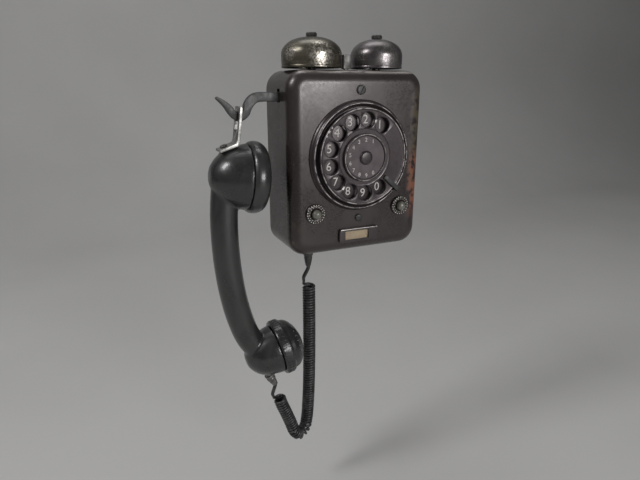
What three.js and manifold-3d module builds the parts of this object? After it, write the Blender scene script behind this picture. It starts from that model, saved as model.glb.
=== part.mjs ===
// Rotary wall telephone: pressed steel case, two bells, rotary dial, side hook and handset on a curly cord.
// Units are millimetres. +X is to the right seen from the front, +Y goes into the wall, +Z is up.
// The origin is the middle of the back plate's rear face, where the telephone meets the wall.

import * as THREE from "three";
import { mergeVertices } from "three/addons/utils/BufferGeometryUtils.js";
import Module from "manifold-3d";

const wasm = await Module();
wasm.setup();

// ---------------------------------------------------------------- clearances
const SEAT_GAP = 0.3; // between pieces that rest on each other
const RUN_GAP = 0.4; // round a turning or sliding piece

// ---------------------------------------------------------------- sides of round pieces
const LARGE_ROUND = 36;
const ROUND = 24;
const SMALL_ROUND = 12;
const TINY_ROUND = 8;

// ---------------------------------------------------------------- case
const CASE_WIDTH = 121;
const CASE_HEIGHT = 148.5;
const CASE_DEPTH = 54.5;
const CASE_CORNER = 15;
const CASE_EDGE = 10;
const CASE_WALL = 2.4;
const BACK_PLATE_THICK = 2.5;
const WALL_HOLE_R = 2.6;
const WALL_HOLE_INSET = 17;
const WALL_HOLE_DROP = 26;

const CASE_FRONT = -CASE_DEPTH;
const CASE_TOP = CASE_HEIGHT / 2;
const CASE_LEFT = -CASE_WIDTH / 2;
const CASE_BOTTOM = -CASE_HEIGHT / 2;
const FRONT_INSIDE = CASE_FRONT + CASE_WALL;
const TOP_INSIDE = CASE_TOP - CASE_WALL;
const PLATE_FRONT = -BACK_PLATE_THICK;

// ---------------------------------------------------------------- cover screws and their pillars
const TOP_SCREW_DROP = 15; // below the case top
const BOTTOM_SCREW_RISE = 29.5; // above the case bottom
const TOP_SCREW_HEAD_R = 3.9;
const BOTTOM_SCREW_HEAD_R = 3.1;
const SCREW_HEAD_THICK = 1.5;
const SCREW_SLOT = 0.9;
const SCREW_SHANK_R = 1.6;
const SCREW_SHANK_LENGTH = 12;
const PILLAR_R = 3.4;

// ---------------------------------------------------------------- dial
const DIAL_Z = 7;
const BEZEL_R = 45;
const BEZEL_CREST_R = 42.3;
const BEZEL_INNER_R = 40;
const BEZEL_HEIGHT = 5.4;
const DIAL_OPENING_R = 36;
const NUMBER_PLATE_R = 39.4;
const NUMBER_PLATE_HEIGHT = 3;
const NUMBER_PLATE_THICK = 1.2;
const WHEEL_R = 39;
const WHEEL_HEIGHT = 8;
const WHEEL_THICK = 1.6;
const WHEEL_CENTRE_R = 21;
const HOLE_R = 6.2;
const HOLE_CIRCLE_R = 29.6;
const HOLE_COUNT = 10;
const FIRST_HOLE_DEG = 57;
const HOLE_STEP_DEG = 27.1;
const FINGER_STOP_DEG = -41;
const CARD_RING_R = 19.2;
const CARD_RING_HEIGHT = 11.5;
const CARD_R = 17;
const CARD_THICK = 0.5;
const HUB_CAP_R = 5.6;
const HUB_CAP_HEIGHT = 2;
const SHAFT_R = 2.5;
const SHAFT_REACH = 17; // behind the case front
const DIAL_FRAME_R = 34;
const DIAL_FRAME_THICK = 2;
const DIAL_FRAME_SETBACK = 4;

// gear train: the main gear drives the impulse pinion five times as fast
const GEAR_MODULE = 1.2;
const MAIN_TEETH = 30;
const PINION_TEETH = 6;
const GEAR_THICK = 2;
const GEAR_SETBACK = 9; // main gear's front face behind the case front
const PINION_DIRECTION_DEG = 200;
const GEAR_CENTRES = (GEAR_MODULE * (MAIN_TEETH + PINION_TEETH)) / 2 + 0.15;

// ---------------------------------------------------------------- bells and ringer
const BELL_X = 29.9;
const BELL_Y = -25;
const LEFT_BELL_R = 24.4;
const RIGHT_BELL_R = 21.9;
const BELL_HEIGHT = 23.6;
const BELL_WALL = 1.4;
const BELL_LIFT = 1.6;
const BELL_POST_R = 3.4;
const BELL_STUD_R = 1.7;
const BELL_NUT_R = 4.6;
const BELL_NUT_THICK = 3;
const CLAPPER_X = 1.2;
const CLAPPER_WIDTH = 6.6;
const CLAPPER_DEPTH = 5;
const CLAPPER_RISE = 12.5; // above the case top
const CLAPPER_PIVOT_DROP = 7.2; // below the case top
const CLAPPER_PIN_R = 1.2;
const COIL_X = 12.6;
const COIL_R = 7.6;
const COIL_HEIGHT = 14;

// ---------------------------------------------------------------- push buttons
const BUTTON_X = 40;
const BUTTON_Z = -37.6;
const COLLAR_R = 8.3;
const COLLAR_HEIGHT = 2.4;
const COLLAR_DOTS = 10;
const BUTTON_R = 3.9;
const BUTTON_PROUD = 4.4; // beyond the collar
const BUTTON_TRAVEL = 2.6;
const BUTTON_STEM = 8; // behind the case front
const SPRING_WIRE_R = 0.45;

// ---------------------------------------------------------------- label holder
const LABEL_WIDTH = 37;
const LABEL_TALL = 12;
const LABEL_Z = -59.2;
const LABEL_RIM = 5.4; // left and right
const LABEL_RIM_TALL = 2.2; // above and below
const LABEL_THICK = 2.3;

// ---------------------------------------------------------------- hook
// what hangs beside the case is placed from the case's upper left corner
const HANG_Y = -30; // plane of the hook and the handset
const HOOK_THICK = 5;
const HOOK_PIVOT_X = CASE_LEFT + 12.5;
const HOOK_PIVOT_Z = CASE_TOP - 20.5;
const HOOK_PIN_R = 2;
const HOOK_RAISE_DEG = 6;

// ---------------------------------------------------------------- handset
const HANDLE_R = 11.2;
const HANDLE_SIDES = 14;
const EAR_X = CASE_LEFT - 22.9;
const EAR_Z = CASE_TOP - 82.8;
const EAR_TILT_DEG = -5.4;
const MOUTH_X = CASE_LEFT - 3.1;
const MOUTH_Z = CASE_TOP - 239.5;
const MOUTH_TILT_DEG = 13;
const EAR_CAP_R = 29;
const EAR_CAVITY_R = 20.7;
const MOUTH_CAP_R = 25.2;
const MOUTH_CAVITY_R = 18.3;
const CAP_WALL = 2.2;
const HANGER_WIDTH = 14.8;
const HANGER_THICK = 2.2;
const HANGER_SLOT_WIDTH = 8.2;
const HANGER_SCREW_R = 1.4;
const FERRULE_R = 4.4;
const FERRULE_X = CASE_LEFT - 16.8;
const FERRULE_Z = CASE_TOP - 263.8;
const FERRULE_TILT_DEG = 27; // from straight down, towards +X

// ---------------------------------------------------------------- cord
const CORD_R = 1.2;
const COIL_CORD_R = 6.1;
const GLAND_X = CASE_LEFT + 26.9;
const GLAND_Y = -24;
const GLAND_TOP_R = 5.4;
const GLAND_TIP_R = 2.2;
const GLAND_LENGTH = 19.5;

// ================================================================ helpers
const degrees = (value) => (value * Math.PI) / 180;

/** Turn a closed three.js geometry into a manifold-3d solid whose faces point out. */
function toSolid(geometry) {
  const bare = geometry.clone();
  for (const name of Object.keys(bare.attributes)) {
    if (name !== "position") bare.deleteAttribute(name);
  }
  const merged = mergeVertices(bare, 1e-4);
  const vertices = new Float32Array(merged.attributes.position.array);
  let triangles = dropFlat(new Uint32Array(merged.index.array));
  if (signedVolume(vertices, triangles) < 0) triangles = flip(triangles);
  return new wasm.Manifold(new wasm.Mesh({ numProp: 3, vertProperties: vertices, triVerts: triangles }));
}

/** Leave out triangles that merging has shrunk to a line. */
function dropFlat(triangles) {
  const kept = [];
  for (let i = 0; i < triangles.length; i += 3) {
    const [a, b, c] = triangles.slice(i, i + 3);
    if (a !== b && b !== c && c !== a) kept.push(a, b, c);
  }
  return new Uint32Array(kept);
}

function flip(triangles) {
  const turned = new Uint32Array(triangles);
  for (let i = 0; i < turned.length; i += 3) {
    turned[i + 1] = triangles[i + 2];
    turned[i + 2] = triangles[i + 1];
  }
  return turned;
}

function signedVolume(vertices, triangles) {
  const corner = (i) => new THREE.Vector3().fromArray(vertices, triangles[i] * 3);
  let sum = 0;
  for (let i = 0; i < triangles.length; i += 3) {
    sum += corner(i).dot(corner(i + 1).cross(corner(i + 2)));
  }
  return sum / 6;
}

/** Bring a solid back as a three.js geometry. */
function toGeometry(solid) {
  const result = solid.getMesh();
  const geometry = new THREE.BufferGeometry();
  geometry.setAttribute("position", new THREE.BufferAttribute(new Float32Array(result.vertProperties), 3));
  geometry.setIndex(new THREE.BufferAttribute(new Uint32Array(result.triVerts), 1));
  geometry.computeVertexNormals();
  return geometry;
}

/** Box from its lowest and highest corners. */
function box(low, high) {
  const size = high.map((value, i) => value - low[i]);
  const geometry = new THREE.BoxGeometry(...size);
  geometry.translate(...low.map((value, i) => value + size[i] / 2));
  return toSolid(geometry);
}

/** Cylinder along Y, from yFront to yBack. */
function rodY(radius, x, z, yFront, yBack, sides = SMALL_ROUND) {
  const geometry = new THREE.CylinderGeometry(radius, radius, yBack - yFront, sides);
  geometry.translate(x, (yFront + yBack) / 2, z);
  return toSolid(geometry);
}

/** Cylinder or cone along Z, from zLow to zHigh. */
function rodZ(radiusHigh, radiusLow, x, y, zLow, zHigh, sides = SMALL_ROUND) {
  const geometry = new THREE.CylinderGeometry(radiusHigh, radiusLow, zHigh - zLow, sides);
  geometry.rotateX(Math.PI / 2);
  geometry.translate(x, y, (zLow + zHigh) / 2);
  return toSolid(geometry);
}

/** Solid of revolution about Y: points are [radius, y], with y in the object's frame. */
function turnedY(points, x, z, sides = LARGE_ROUND) {
  const profile = points.map(([radius, y]) => new THREE.Vector2(radius, y));
  const geometry = new THREE.LatheGeometry(profile, sides);
  geometry.translate(x, 0, z);
  return toSolid(geometry);
}

/** Solid of revolution about an upright axis: points are [radius, z]. */
function turnedZ(points, x, y, sides = ROUND) {
  const profile = points.map(([radius, z]) => new THREE.Vector2(radius, z));
  const geometry = new THREE.LatheGeometry(profile, sides);
  geometry.rotateX(Math.PI / 2);
  geometry.translate(x, y, 0);
  return toSolid(geometry);
}

/** Solid of revolution whose axis lies in the hanging plane: points are [radius, distance along it]. */
function turnedHanging(points, centre, tiltDeg, sides = ROUND) {
  const profile = points.map(([radius, along]) => new THREE.Vector2(radius, along));
  const geometry = new THREE.LatheGeometry(profile, sides);
  geometry.rotateZ(-Math.PI / 2);
  geometry.rotateY(-degrees(tiltDeg));
  geometry.translate(centre[0], HANG_Y, centre[1]);
  return toSolid(geometry);
}

/** Flat outline drawn in X and Z, with a thickness from yBack towards the front. */
function plate(shape, yBack, thickness, curveSegments = 6) {
  const geometry = new THREE.ExtrudeGeometry(shape, { depth: thickness, bevelEnabled: false, curveSegments });
  geometry.rotateX(Math.PI / 2);
  geometry.translate(0, yBack, 0);
  return toSolid(geometry);
}

function roundedRect(width, height, corner, x = 0, z = 0) {
  const shape = new THREE.Shape();
  const [left, right] = [x - width / 2, x + width / 2];
  const [bottom, top] = [z - height / 2, z + height / 2];
  shape.moveTo(left + corner, bottom);
  shape.lineTo(right - corner, bottom);
  shape.absarc(right - corner, bottom + corner, corner, -Math.PI / 2, 0);
  shape.lineTo(right, top - corner);
  shape.absarc(right - corner, top - corner, corner, 0, Math.PI / 2);
  shape.lineTo(left + corner, top);
  shape.absarc(left + corner, top - corner, corner, Math.PI / 2, Math.PI);
  shape.lineTo(left, bottom + corner);
  shape.absarc(left + corner, bottom + corner, corner, Math.PI, 1.5 * Math.PI);
  return shape;
}

function polygon(points) {
  return new THREE.Shape(points.map(([x, z]) => new THREE.Vector2(x, z)));
}

/** Block with rounded front edges: its front face is at Y = -depth, and its back lies behind Y = 0. */
function roundedBlock(width, height, depth, corner, edge) {
  const shape = roundedRect(width, height, corner);
  const geometry = new THREE.ExtrudeGeometry(shape, {
    depth,
    bevelEnabled: true,
    bevelThickness: edge,
    bevelSize: edge,
    bevelOffset: -edge,
    bevelSegments: 3,
    curveSegments: 4,
  });
  geometry.rotateX(Math.PI / 2);
  geometry.translate(0, edge, 0);
  return geometry;
}

/** Round bar along a list of points. */
function bar(points, radius, sides, steps) {
  const curve = new THREE.CatmullRomCurve3(points.map((point) => new THREE.Vector3(...point)), false, "centripetal");
  const section = new THREE.Shape();
  for (let i = 0; i < sides; i += 1) {
    const angle = (i / sides) * 2 * Math.PI;
    section[i === 0 ? "moveTo" : "lineTo"](radius * Math.cos(angle), radius * Math.sin(angle));
  }
  section.closePath();
  return toSolid(new THREE.ExtrudeGeometry(section, { steps, bevelEnabled: false, extrudePath: curve }));
}

function union(first, ...others) {
  return others.reduce((sum, other) => sum.add(other), first);
}

function without(first, ...others) {
  return others.reduce((rest, other) => rest.subtract(other), first);
}

/** Trapezium-toothed gear outline with room between its teeth. */
function gearOutline(teeth, turnDeg, x, z) {
  const pitch = (GEAR_MODULE * teeth) / 2;
  const tip = pitch + 0.75 * GEAR_MODULE;
  const root = pitch - 1.05 * GEAR_MODULE;
  const step = (2 * Math.PI) / teeth;
  const points = [];
  for (let i = 0; i < teeth; i += 1) {
    const middle = degrees(turnDeg) + i * step;
    for (const [radius, share] of [[root, -0.26], [tip, -0.11], [tip, 0.11], [root, 0.26]]) {
      const angle = middle + share * step;
      points.push([x + radius * Math.cos(angle), z + radius * Math.sin(angle)]);
    }
  }
  return polygon(points);
}

// ---------------------------------------------------------------- materials and the scene graph
const finish = (color, roughness, metalness) => new THREE.MeshStandardMaterial({ color, roughness, metalness });
const FINISHES = {
  enamel: finish(0x3a3636, 0.38, 0.3),
  bellBronze: finish(0x46423c, 0.35, 0.8),
  bellSteel: finish(0x463f40, 0.32, 0.8),
  dialMetal: finish(0x433c3e, 0.4, 0.6),
  card: finish(0x5a5053, 0.6, 0.1),
  bakelite: finish(0x303030, 0.3, 0.05),
  wornSteel: finish(0x8d8a84, 0.4, 0.9),
  darkSteel: finish(0x4a4744, 0.45, 0.8),
  brass: finish(0x9c8050, 0.4, 0.9),
  copper: finish(0x8a4f30, 0.5, 0.7),
  cream: finish(0xcdbd98, 0.8, 0),
  clear: finish(0xd8d4c8, 0.15, 0),
  rubber: finish(0x2b2a2a, 0.7, 0),
};

const telephone = new THREE.Group();
const groups = {};

/** Add one named piece to a sub-assembly. */
function piece(groupName, name, solid, finishName) {
  if (!groups[groupName]) {
    groups[groupName] = new THREE.Group();
    groups[groupName].name = `${groupName}_group`;
    telephone.add(groups[groupName]);
  }
  const mesh = new THREE.Mesh(toGeometry(solid), FINISHES[finishName]);
  mesh.name = name;
  groups[groupName].add(mesh);
}

const SIDES = [
  { name: "left", sign: -1 },
  { name: "right", sign: 1 },
];

// ================================================================ hook outline (needed by the case's slot too)
/** Point given from the case's upper left corner. */
const hung = ([x, z]) => [CASE_LEFT + x, CASE_TOP + z];
const HOOK_UPPER = [
  [-3.6, -16.8], [-18.3, -17], [-23.1, -18.8], [-26, -21.4], [-28.6, -25.5], [-30, -30.4],
  [-32.5, -31.6], [-35.3, -30.6], [-38.1, -27.1], [-42.5, -23.5], [-49.2, -19.7],
].map(hung);
const HOOK_LOWER = [
  [-50.4, -21.2], [-44.5, -27.4], [-41.3, -32.2], [-37.9, -36.1], [-34.1, -38.1], [-30.3, -38],
  [-25.1, -34.4], [-22.5, -29.1], [-19.8, -25.7], [-17.2, -24.3], [-3.6, -24],
].map(hung);
const HOOK_BAR_TOP = HOOK_UPPER[0][1];
const HOOK_BAR_BOTTOM = HOOK_LOWER[HOOK_LOWER.length - 1][1];
const HOOK_TAIL_X = CASE_LEFT + 29.5;
const HOOK_BOSS_R = 5;

/** Smooth closed outline through an upper and a lower run of points. */
function hookOutline() {
  const smooth = (points) =>
    new THREE.CatmullRomCurve3(points.map(([x, z]) => new THREE.Vector3(x, z, 0)), false, "centripetal")
      .getPoints(22)
      .map((point) => [point.x, point.y]);
  const tail = [
    [HOOK_PIVOT_X, HOOK_BAR_BOTTOM],
    [HOOK_TAIL_X, HOOK_BAR_BOTTOM + 1.2],
    [HOOK_TAIL_X, HOOK_BAR_TOP - 2.2],
    [HOOK_PIVOT_X, HOOK_BAR_TOP],
  ];
  return polygon([...smooth(HOOK_UPPER), ...smooth(HOOK_LOWER), ...tail]);
}

// ================================================================ case
const topScrewZ = CASE_TOP - TOP_SCREW_DROP;
const bottomScrewZ = CASE_BOTTOM + BOTTOM_SCREW_RISE;
const clapperSlotHalf = CLAPPER_WIDTH / 2 + 2.2;
const hookSlotRise = Math.sin(degrees(HOOK_RAISE_DEG)) * (HOOK_PIVOT_X - CASE_LEFT);

function buildCase() {
  const outer = toSolid(roundedBlock(CASE_WIDTH, CASE_HEIGHT, CASE_DEPTH, CASE_CORNER, CASE_EDGE));
  const inner = toSolid(
    roundedBlock(
      CASE_WIDTH - 2 * CASE_WALL,
      CASE_HEIGHT - 2 * CASE_WALL,
      CASE_DEPTH - CASE_WALL,
      CASE_CORNER - CASE_WALL,
      CASE_EDGE - CASE_WALL,
    ),
  );
  const behind = box([-CASE_WIDTH, 0, -CASE_HEIGHT], [CASE_WIDTH, CASE_DEPTH, CASE_HEIGHT]);
  const cuts = [
    behind,
    rodY(DIAL_OPENING_R, 0, DIAL_Z, CASE_FRONT - 1, FRONT_INSIDE + 1, LARGE_ROUND),
    rodY(SCREW_SHANK_R + RUN_GAP, 0, topScrewZ, CASE_FRONT - 1, FRONT_INSIDE + 1),
    rodY(SCREW_SHANK_R + RUN_GAP, 0, bottomScrewZ, CASE_FRONT - 1, FRONT_INSIDE + 1),
    box(
      [CLAPPER_X - clapperSlotHalf, BELL_Y - CLAPPER_DEPTH / 2 - 1, TOP_INSIDE - 1],
      [CLAPPER_X + clapperSlotHalf, BELL_Y + CLAPPER_DEPTH / 2 + 1, CASE_TOP + 1],
    ),
    box(
      [CASE_LEFT - 1, HANG_Y - HOOK_THICK / 2 - RUN_GAP, HOOK_BAR_BOTTOM - 0.8],
      [CASE_LEFT + CASE_WALL + 1, HANG_Y + HOOK_THICK / 2 + RUN_GAP, HOOK_BAR_TOP + hookSlotRise + 0.8],
    ),
    rodZ(GLAND_TOP_R - 1.2 + RUN_GAP, GLAND_TOP_R - 1.2 + RUN_GAP, GLAND_X, GLAND_Y, CASE_BOTTOM - 1,
      CASE_BOTTOM + CASE_WALL + 1),
  ];
  for (const { sign } of SIDES) {
    cuts.push(rodY(BUTTON_R - 1 + RUN_GAP, sign * BUTTON_X, BUTTON_Z, CASE_FRONT - 1, FRONT_INSIDE + 1));
    cuts.push(rodZ(BELL_STUD_R + RUN_GAP, BELL_STUD_R + RUN_GAP, sign * BELL_X, BELL_Y, TOP_INSIDE - 1,
      CASE_TOP + 1));
  }
  const shell = without(outer, inner, ...cuts);
  piece("case", "case_shell", shell, "enamel");

  const plateShape = roundedRect(
    CASE_WIDTH - 2 * (CASE_WALL + SEAT_GAP),
    CASE_HEIGHT - 2 * (CASE_WALL + SEAT_GAP),
    CASE_CORNER - CASE_WALL - SEAT_GAP,
  );
  const wallHoles = SIDES.flatMap(({ sign }) =>
    [1, -1].map((up) =>
      rodY(WALL_HOLE_R, sign * (CASE_WIDTH / 2 - WALL_HOLE_INSET), up * (CASE_HEIGHT / 2 - WALL_HOLE_DROP),
        PLATE_FRONT - 1, 1),
    ),
  );
  const pillars = [topScrewZ, bottomScrewZ].map(pillarAt);
  const backPlate = union(without(plate(plateShape, 0, BACK_PLATE_THICK), ...wallHoles), ...pillars);
  piece("case", "back_plate", backPlate, "darkSteel");

  buildCoverScrew("top", topScrewZ, TOP_SCREW_HEAD_R);
  buildCoverScrew("bottom", bottomScrewZ, BOTTOM_SCREW_HEAD_R);
}

/** Pillar welded to the back plate, drilled for the cover screw at height z. */
function pillarAt(z) {
  const front = FRONT_INSIDE + SEAT_GAP;
  return without(
    rodY(PILLAR_R, 0, z, front, PLATE_FRONT / 2),
    rodY(SCREW_SHANK_R + RUN_GAP, 0, z, front - 1, CASE_FRONT + SCREW_SHANK_LENGTH + 1),
  );
}

/** Slotted screw through the case front into its pillar. */
function buildCoverScrew(where, z, headR) {
  const seat = CASE_FRONT - SEAT_GAP;
  const head = turnedY(
    [
      [0, seat],
      [headR, seat],
      [headR, seat - SCREW_HEAD_THICK * 0.55],
      [headR * 0.72, seat - SCREW_HEAD_THICK * 0.92],
      [0, seat - SCREW_HEAD_THICK],
    ],
    0,
    z,
    SMALL_ROUND,
  );
  const shank = rodY(SCREW_SHANK_R, 0, z, seat - 0.2, seat + SCREW_SHANK_LENGTH);
  const slot = box(
    [-headR - 1, seat - SCREW_HEAD_THICK - 1, z - SCREW_SLOT / 2],
    [headR + 1, seat - SCREW_HEAD_THICK * 0.45, z + SCREW_SLOT / 2],
  );
  piece("case", `${where}_case_screw`, without(union(head, shank), slot), "darkSteel");
}

// ================================================================ label holder
function buildLabel() {
  const seat = CASE_FRONT - SEAT_GAP;
  const windowWidth = LABEL_WIDTH - 2 * LABEL_RIM;
  const windowTall = LABEL_TALL - 2 * LABEL_RIM_TALL;
  const pocketWidth = windowWidth + 2.6;
  const pocketTall = windowTall + 1.4;
  const lip = 0.8;
  const frame = without(
    plate(roundedRect(LABEL_WIDTH, LABEL_TALL, 2.2, 0, LABEL_Z), seat, LABEL_THICK, 3),
    plate(roundedRect(windowWidth, windowTall, 0.8, 0, LABEL_Z), seat + 1, LABEL_THICK + 2, 2),
    plate(roundedRect(pocketWidth, pocketTall, 0.8, 0, LABEL_Z), seat + 1, LABEL_THICK - lip + 1, 2),
  );
  piece("label", "label_frame", frame, "wornSteel");
  const sheet = (inset) => roundedRect(pocketWidth - 2 * inset, pocketTall - 2 * inset, 0.5, 0, LABEL_Z);
  piece("label", "label_card", plate(sheet(SEAT_GAP), seat, 0.3, 2), "cream");
  piece("label", "label_window", plate(sheet(SEAT_GAP), seat - 0.3 - SEAT_GAP, 0.5, 2), "clear");
}

// ================================================================ push buttons
function buildButton({ name, sign }) {
  const x = sign * BUTTON_X;
  const seat = CASE_FRONT - SEAT_GAP;
  const collarFront = seat - COLLAR_HEIGHT;
  const bore = BUTTON_R + RUN_GAP;
  let collar = turnedY(
    [
      [bore, seat],
      [COLLAR_R, seat],
      [COLLAR_R, seat - COLLAR_HEIGHT * 0.45],
      [COLLAR_R - 1.2, collarFront],
      [bore, collarFront],
      [bore, seat],
    ],
    x,
    BUTTON_Z,
    ROUND,
  );
  for (let i = 0; i < COLLAR_DOTS; i += 1) {
    const angle = (i / COLLAR_DOTS) * 2 * Math.PI;
    const radius = (bore + COLLAR_R - 0.6) / 2;
    const notch = rodY(0.7, x + radius * Math.cos(angle), BUTTON_Z + radius * Math.sin(angle), collarFront - 1,
      collarFront + 0.6, 5);
    collar = collar.subtract(notch);
  }
  piece("buttons", `${name}_collar`, collar, "darkSteel");

  const stemR = BUTTON_R - 1;
  const nose = collarFront - BUTTON_PROUD;
  const stemEnd = CASE_FRONT + BUTTON_STEM;
  const shoulder = seat - BUTTON_TRAVEL - SEAT_GAP;
  const flangeFront = FRONT_INSIDE + SEAT_GAP;
  const button = turnedY(
    [
      [0, nose],
      [BUTTON_R * 0.45, nose + 0.35],
      [BUTTON_R * 0.8, nose + 1.3],
      [BUTTON_R, nose + 2.8],
      [BUTTON_R, shoulder],
      [stemR, shoulder],
      [stemR, flangeFront],
      [stemR + 1.6, flangeFront],
      [stemR + 1.6, flangeFront + 1],
      [1.4, flangeFront + 1],
      [1.4, stemEnd],
      [0, stemEnd],
    ],
    x,
    BUTTON_Z,
    SMALL_ROUND,
  );
  piece("buttons", `${name}_button`, button, "bakelite");

  const springFront = flangeFront + 1 + BUTTON_TRAVEL + SEAT_GAP;
  const springBack = stemEnd + BUTTON_TRAVEL + 2;
  const springR = 2.6;
  const turns = 4;
  const springPoints = [];
  for (let i = 0; i <= turns * 8; i += 1) {
    const angle = (i / 8) * 2 * Math.PI;
    const y = springFront + SPRING_WIRE_R + ((springBack - springFront - 2 * SPRING_WIRE_R) * i) / (turns * 8);
    springPoints.push([x + springR * Math.cos(angle), y, BUTTON_Z + springR * Math.sin(angle)]);
  }
  piece("buttons", `${name}_button_spring`, bar(springPoints, SPRING_WIRE_R, 4, turns * 8), "wornSteel");

  const blockFront = springBack + SEAT_GAP;
  const block = union(
    box([x - 7, blockFront, BUTTON_Z - 5], [x + 7, blockFront + 5, BUTTON_Z + 5]),
    box([x - 1.5, blockFront + 4.5, BUTTON_Z - 3], [x + 1.5, blockFront + 9, BUTTON_Z - 2]),
    box([x - 1.5, blockFront + 4.5, BUTTON_Z + 2], [x + 1.5, blockFront + 9, BUTTON_Z + 3]),
  );
  piece("buttons", `${name}_switch_block`, block, "bakelite");
}

// ================================================================ bells and ringer
function buildBell({ name, sign }) {
  const x = sign * BELL_X;
  const outerR = sign < 0 ? LEFT_BELL_R : RIGHT_BELL_R;
  const rim = CASE_TOP + BELL_LIFT;
  const top = rim + BELL_HEIGHT;
  const skirt = BELL_HEIGHT * 0.42;
  const innerR = outerR - BELL_WALL;
  const hole = BELL_STUD_R + SEAT_GAP;
  const domePoints = (radius, height) => {
    const points = [];
    const segments = 5;
    for (let i = 0; i < segments; i += 1) {
      const angle = (i / segments) * (Math.PI / 2);
      points.push([radius * Math.cos(angle) ** 0.86, rim + skirt + (height - skirt) * Math.sin(angle)]);
    }
    return points;
  };
  const bell = turnedZ(
    [
      [hole, top - BELL_WALL],
      ...domePoints(innerR, BELL_HEIGHT - BELL_WALL).reverse(),
      [innerR, rim],
      [outerR, rim],
      ...domePoints(outerR, BELL_HEIGHT),
      [hole, top],
      [hole, top - BELL_WALL],
    ],
    x,
    BELL_Y,
  );
  piece("bells", `${name}_bell`, bell, sign < 0 ? "bellBronze" : "bellSteel");

  const underside = top - BELL_WALL - SEAT_GAP;
  const post = union(
    rodZ(BELL_POST_R, BELL_POST_R, x, BELL_Y, CASE_TOP + SEAT_GAP, underside),
    rodZ(BELL_STUD_R, BELL_STUD_R, x, BELL_Y, TOP_INSIDE - 5, top + SEAT_GAP + BELL_NUT_THICK - 0.6),
    rodZ(BELL_STUD_R + 1.6, BELL_STUD_R + 1.6, x, BELL_Y, TOP_INSIDE - 3, TOP_INSIDE - SEAT_GAP, 6),
  );
  piece("bells", `${name}_bell_post`, post, "darkSteel");

  const nutLow = top + SEAT_GAP;
  const nut = without(
    rodZ(BELL_NUT_R * 0.86, BELL_NUT_R, x, BELL_Y, nutLow, nutLow + BELL_NUT_THICK, 6),
    rodZ(BELL_STUD_R + SEAT_GAP, BELL_STUD_R + SEAT_GAP, x, BELL_Y, nutLow - 1, nutLow + BELL_NUT_THICK + 1),
  );
  piece("bells", `${name}_bell_nut`, nut, "darkSteel");
}

const clapperPivotZ = CASE_TOP - CLAPPER_PIVOT_DROP;
const BRACKET_BACK = PLATE_FRONT - SEAT_GAP;
const BRACKET_THICK = 2;

function buildRinger() {
  const coilTop = clapperPivotZ - 5;
  const coilBottom = coilTop - COIL_HEIGHT;
  const yokeTop = coilBottom - SEAT_GAP;
  const yokeThick = 2.4;
  const bracketShape = roundedRect(42, 30, 2, 0, yokeTop + 9);
  const bracket = without(
    plate(bracketShape, BRACKET_BACK, BRACKET_THICK, 2),
    rodY(PILLAR_R + RUN_GAP, 0, topScrewZ, BRACKET_BACK - BRACKET_THICK - 1, BRACKET_BACK + 1),
  );
  const pinFront = BELL_Y - CLAPPER_DEPTH / 2 - 2.5;
  const pin = rodY(CLAPPER_PIN_R, CLAPPER_X, clapperPivotZ, pinFront, BRACKET_BACK - 0.5);
  piece("ringer", "ringer_bracket", union(bracket, pin), "darkSteel");

  const yokeBack = BRACKET_BACK - BRACKET_THICK - SEAT_GAP;
  const coreR = 2.4;
  const cores = SIDES.map(({ sign }) =>
    rodZ(coreR, coreR, sign * COIL_X, BELL_Y, yokeTop - yokeThick - 1, coilTop + 0.8),
  );
  const yoke = union(box([-21, BELL_Y - 8, yokeTop - yokeThick], [21, yokeBack, yokeTop]), ...cores);
  piece("ringer", "ringer_yoke", yoke, "darkSteel");

  for (const { name, sign } of SIDES) {
    const x = sign * COIL_X;
    const bore = coreR + SEAT_GAP;
    const coil = turnedZ(
      [
        [bore, coilBottom],
        [COIL_R, coilBottom],
        [COIL_R, coilBottom + 1.2],
        [COIL_R - 1.2, coilBottom + 1.2],
        [COIL_R - 1.2, coilTop - 1.2],
        [COIL_R, coilTop - 1.2],
        [COIL_R, coilTop],
        [bore, coilTop],
        [bore, coilBottom],
      ],
      x,
      BELL_Y,
      SMALL_ROUND,
    );
    piece("ringer", `${name}_ringer_coil`, coil, "copper");
  }

  const half = CLAPPER_DEPTH / 2;
  const hammerLow = CASE_TOP + 1.2;
  const clapper = without(
    union(
      box([CLAPPER_X - 19, BELL_Y - half, clapperPivotZ - 1], [CLAPPER_X + 19, BELL_Y + half, clapperPivotZ + 1]),
      rodY(CLAPPER_PIN_R + 1.8, CLAPPER_X, clapperPivotZ, BELL_Y - half, BELL_Y + half),
      box([CLAPPER_X - 1.6, BELL_Y - 1.6, clapperPivotZ + 2], [CLAPPER_X + 1.6, BELL_Y + 1.6, hammerLow + 1]),
      box(
        [CLAPPER_X - CLAPPER_WIDTH / 2, BELL_Y - half, hammerLow],
        [CLAPPER_X + CLAPPER_WIDTH / 2, BELL_Y + half, CASE_TOP + CLAPPER_RISE],
      ),
    ),
    rodY(CLAPPER_PIN_R + RUN_GAP, CLAPPER_X, clapperPivotZ, BELL_Y - half - 1, BELL_Y + half + 1),
  );
  piece("ringer", "clapper", clapper, "darkSteel");
}

// ================================================================ dial
const holeAngle = (i) => degrees(FIRST_HOLE_DEG + i * HOLE_STEP_DEG);
const heightY = (height) => CASE_FRONT - height;
const pinionX = GEAR_CENTRES * Math.cos(degrees(PINION_DIRECTION_DEG));
const pinionZ = DIAL_Z + GEAR_CENTRES * Math.sin(degrees(PINION_DIRECTION_DEG));

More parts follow.
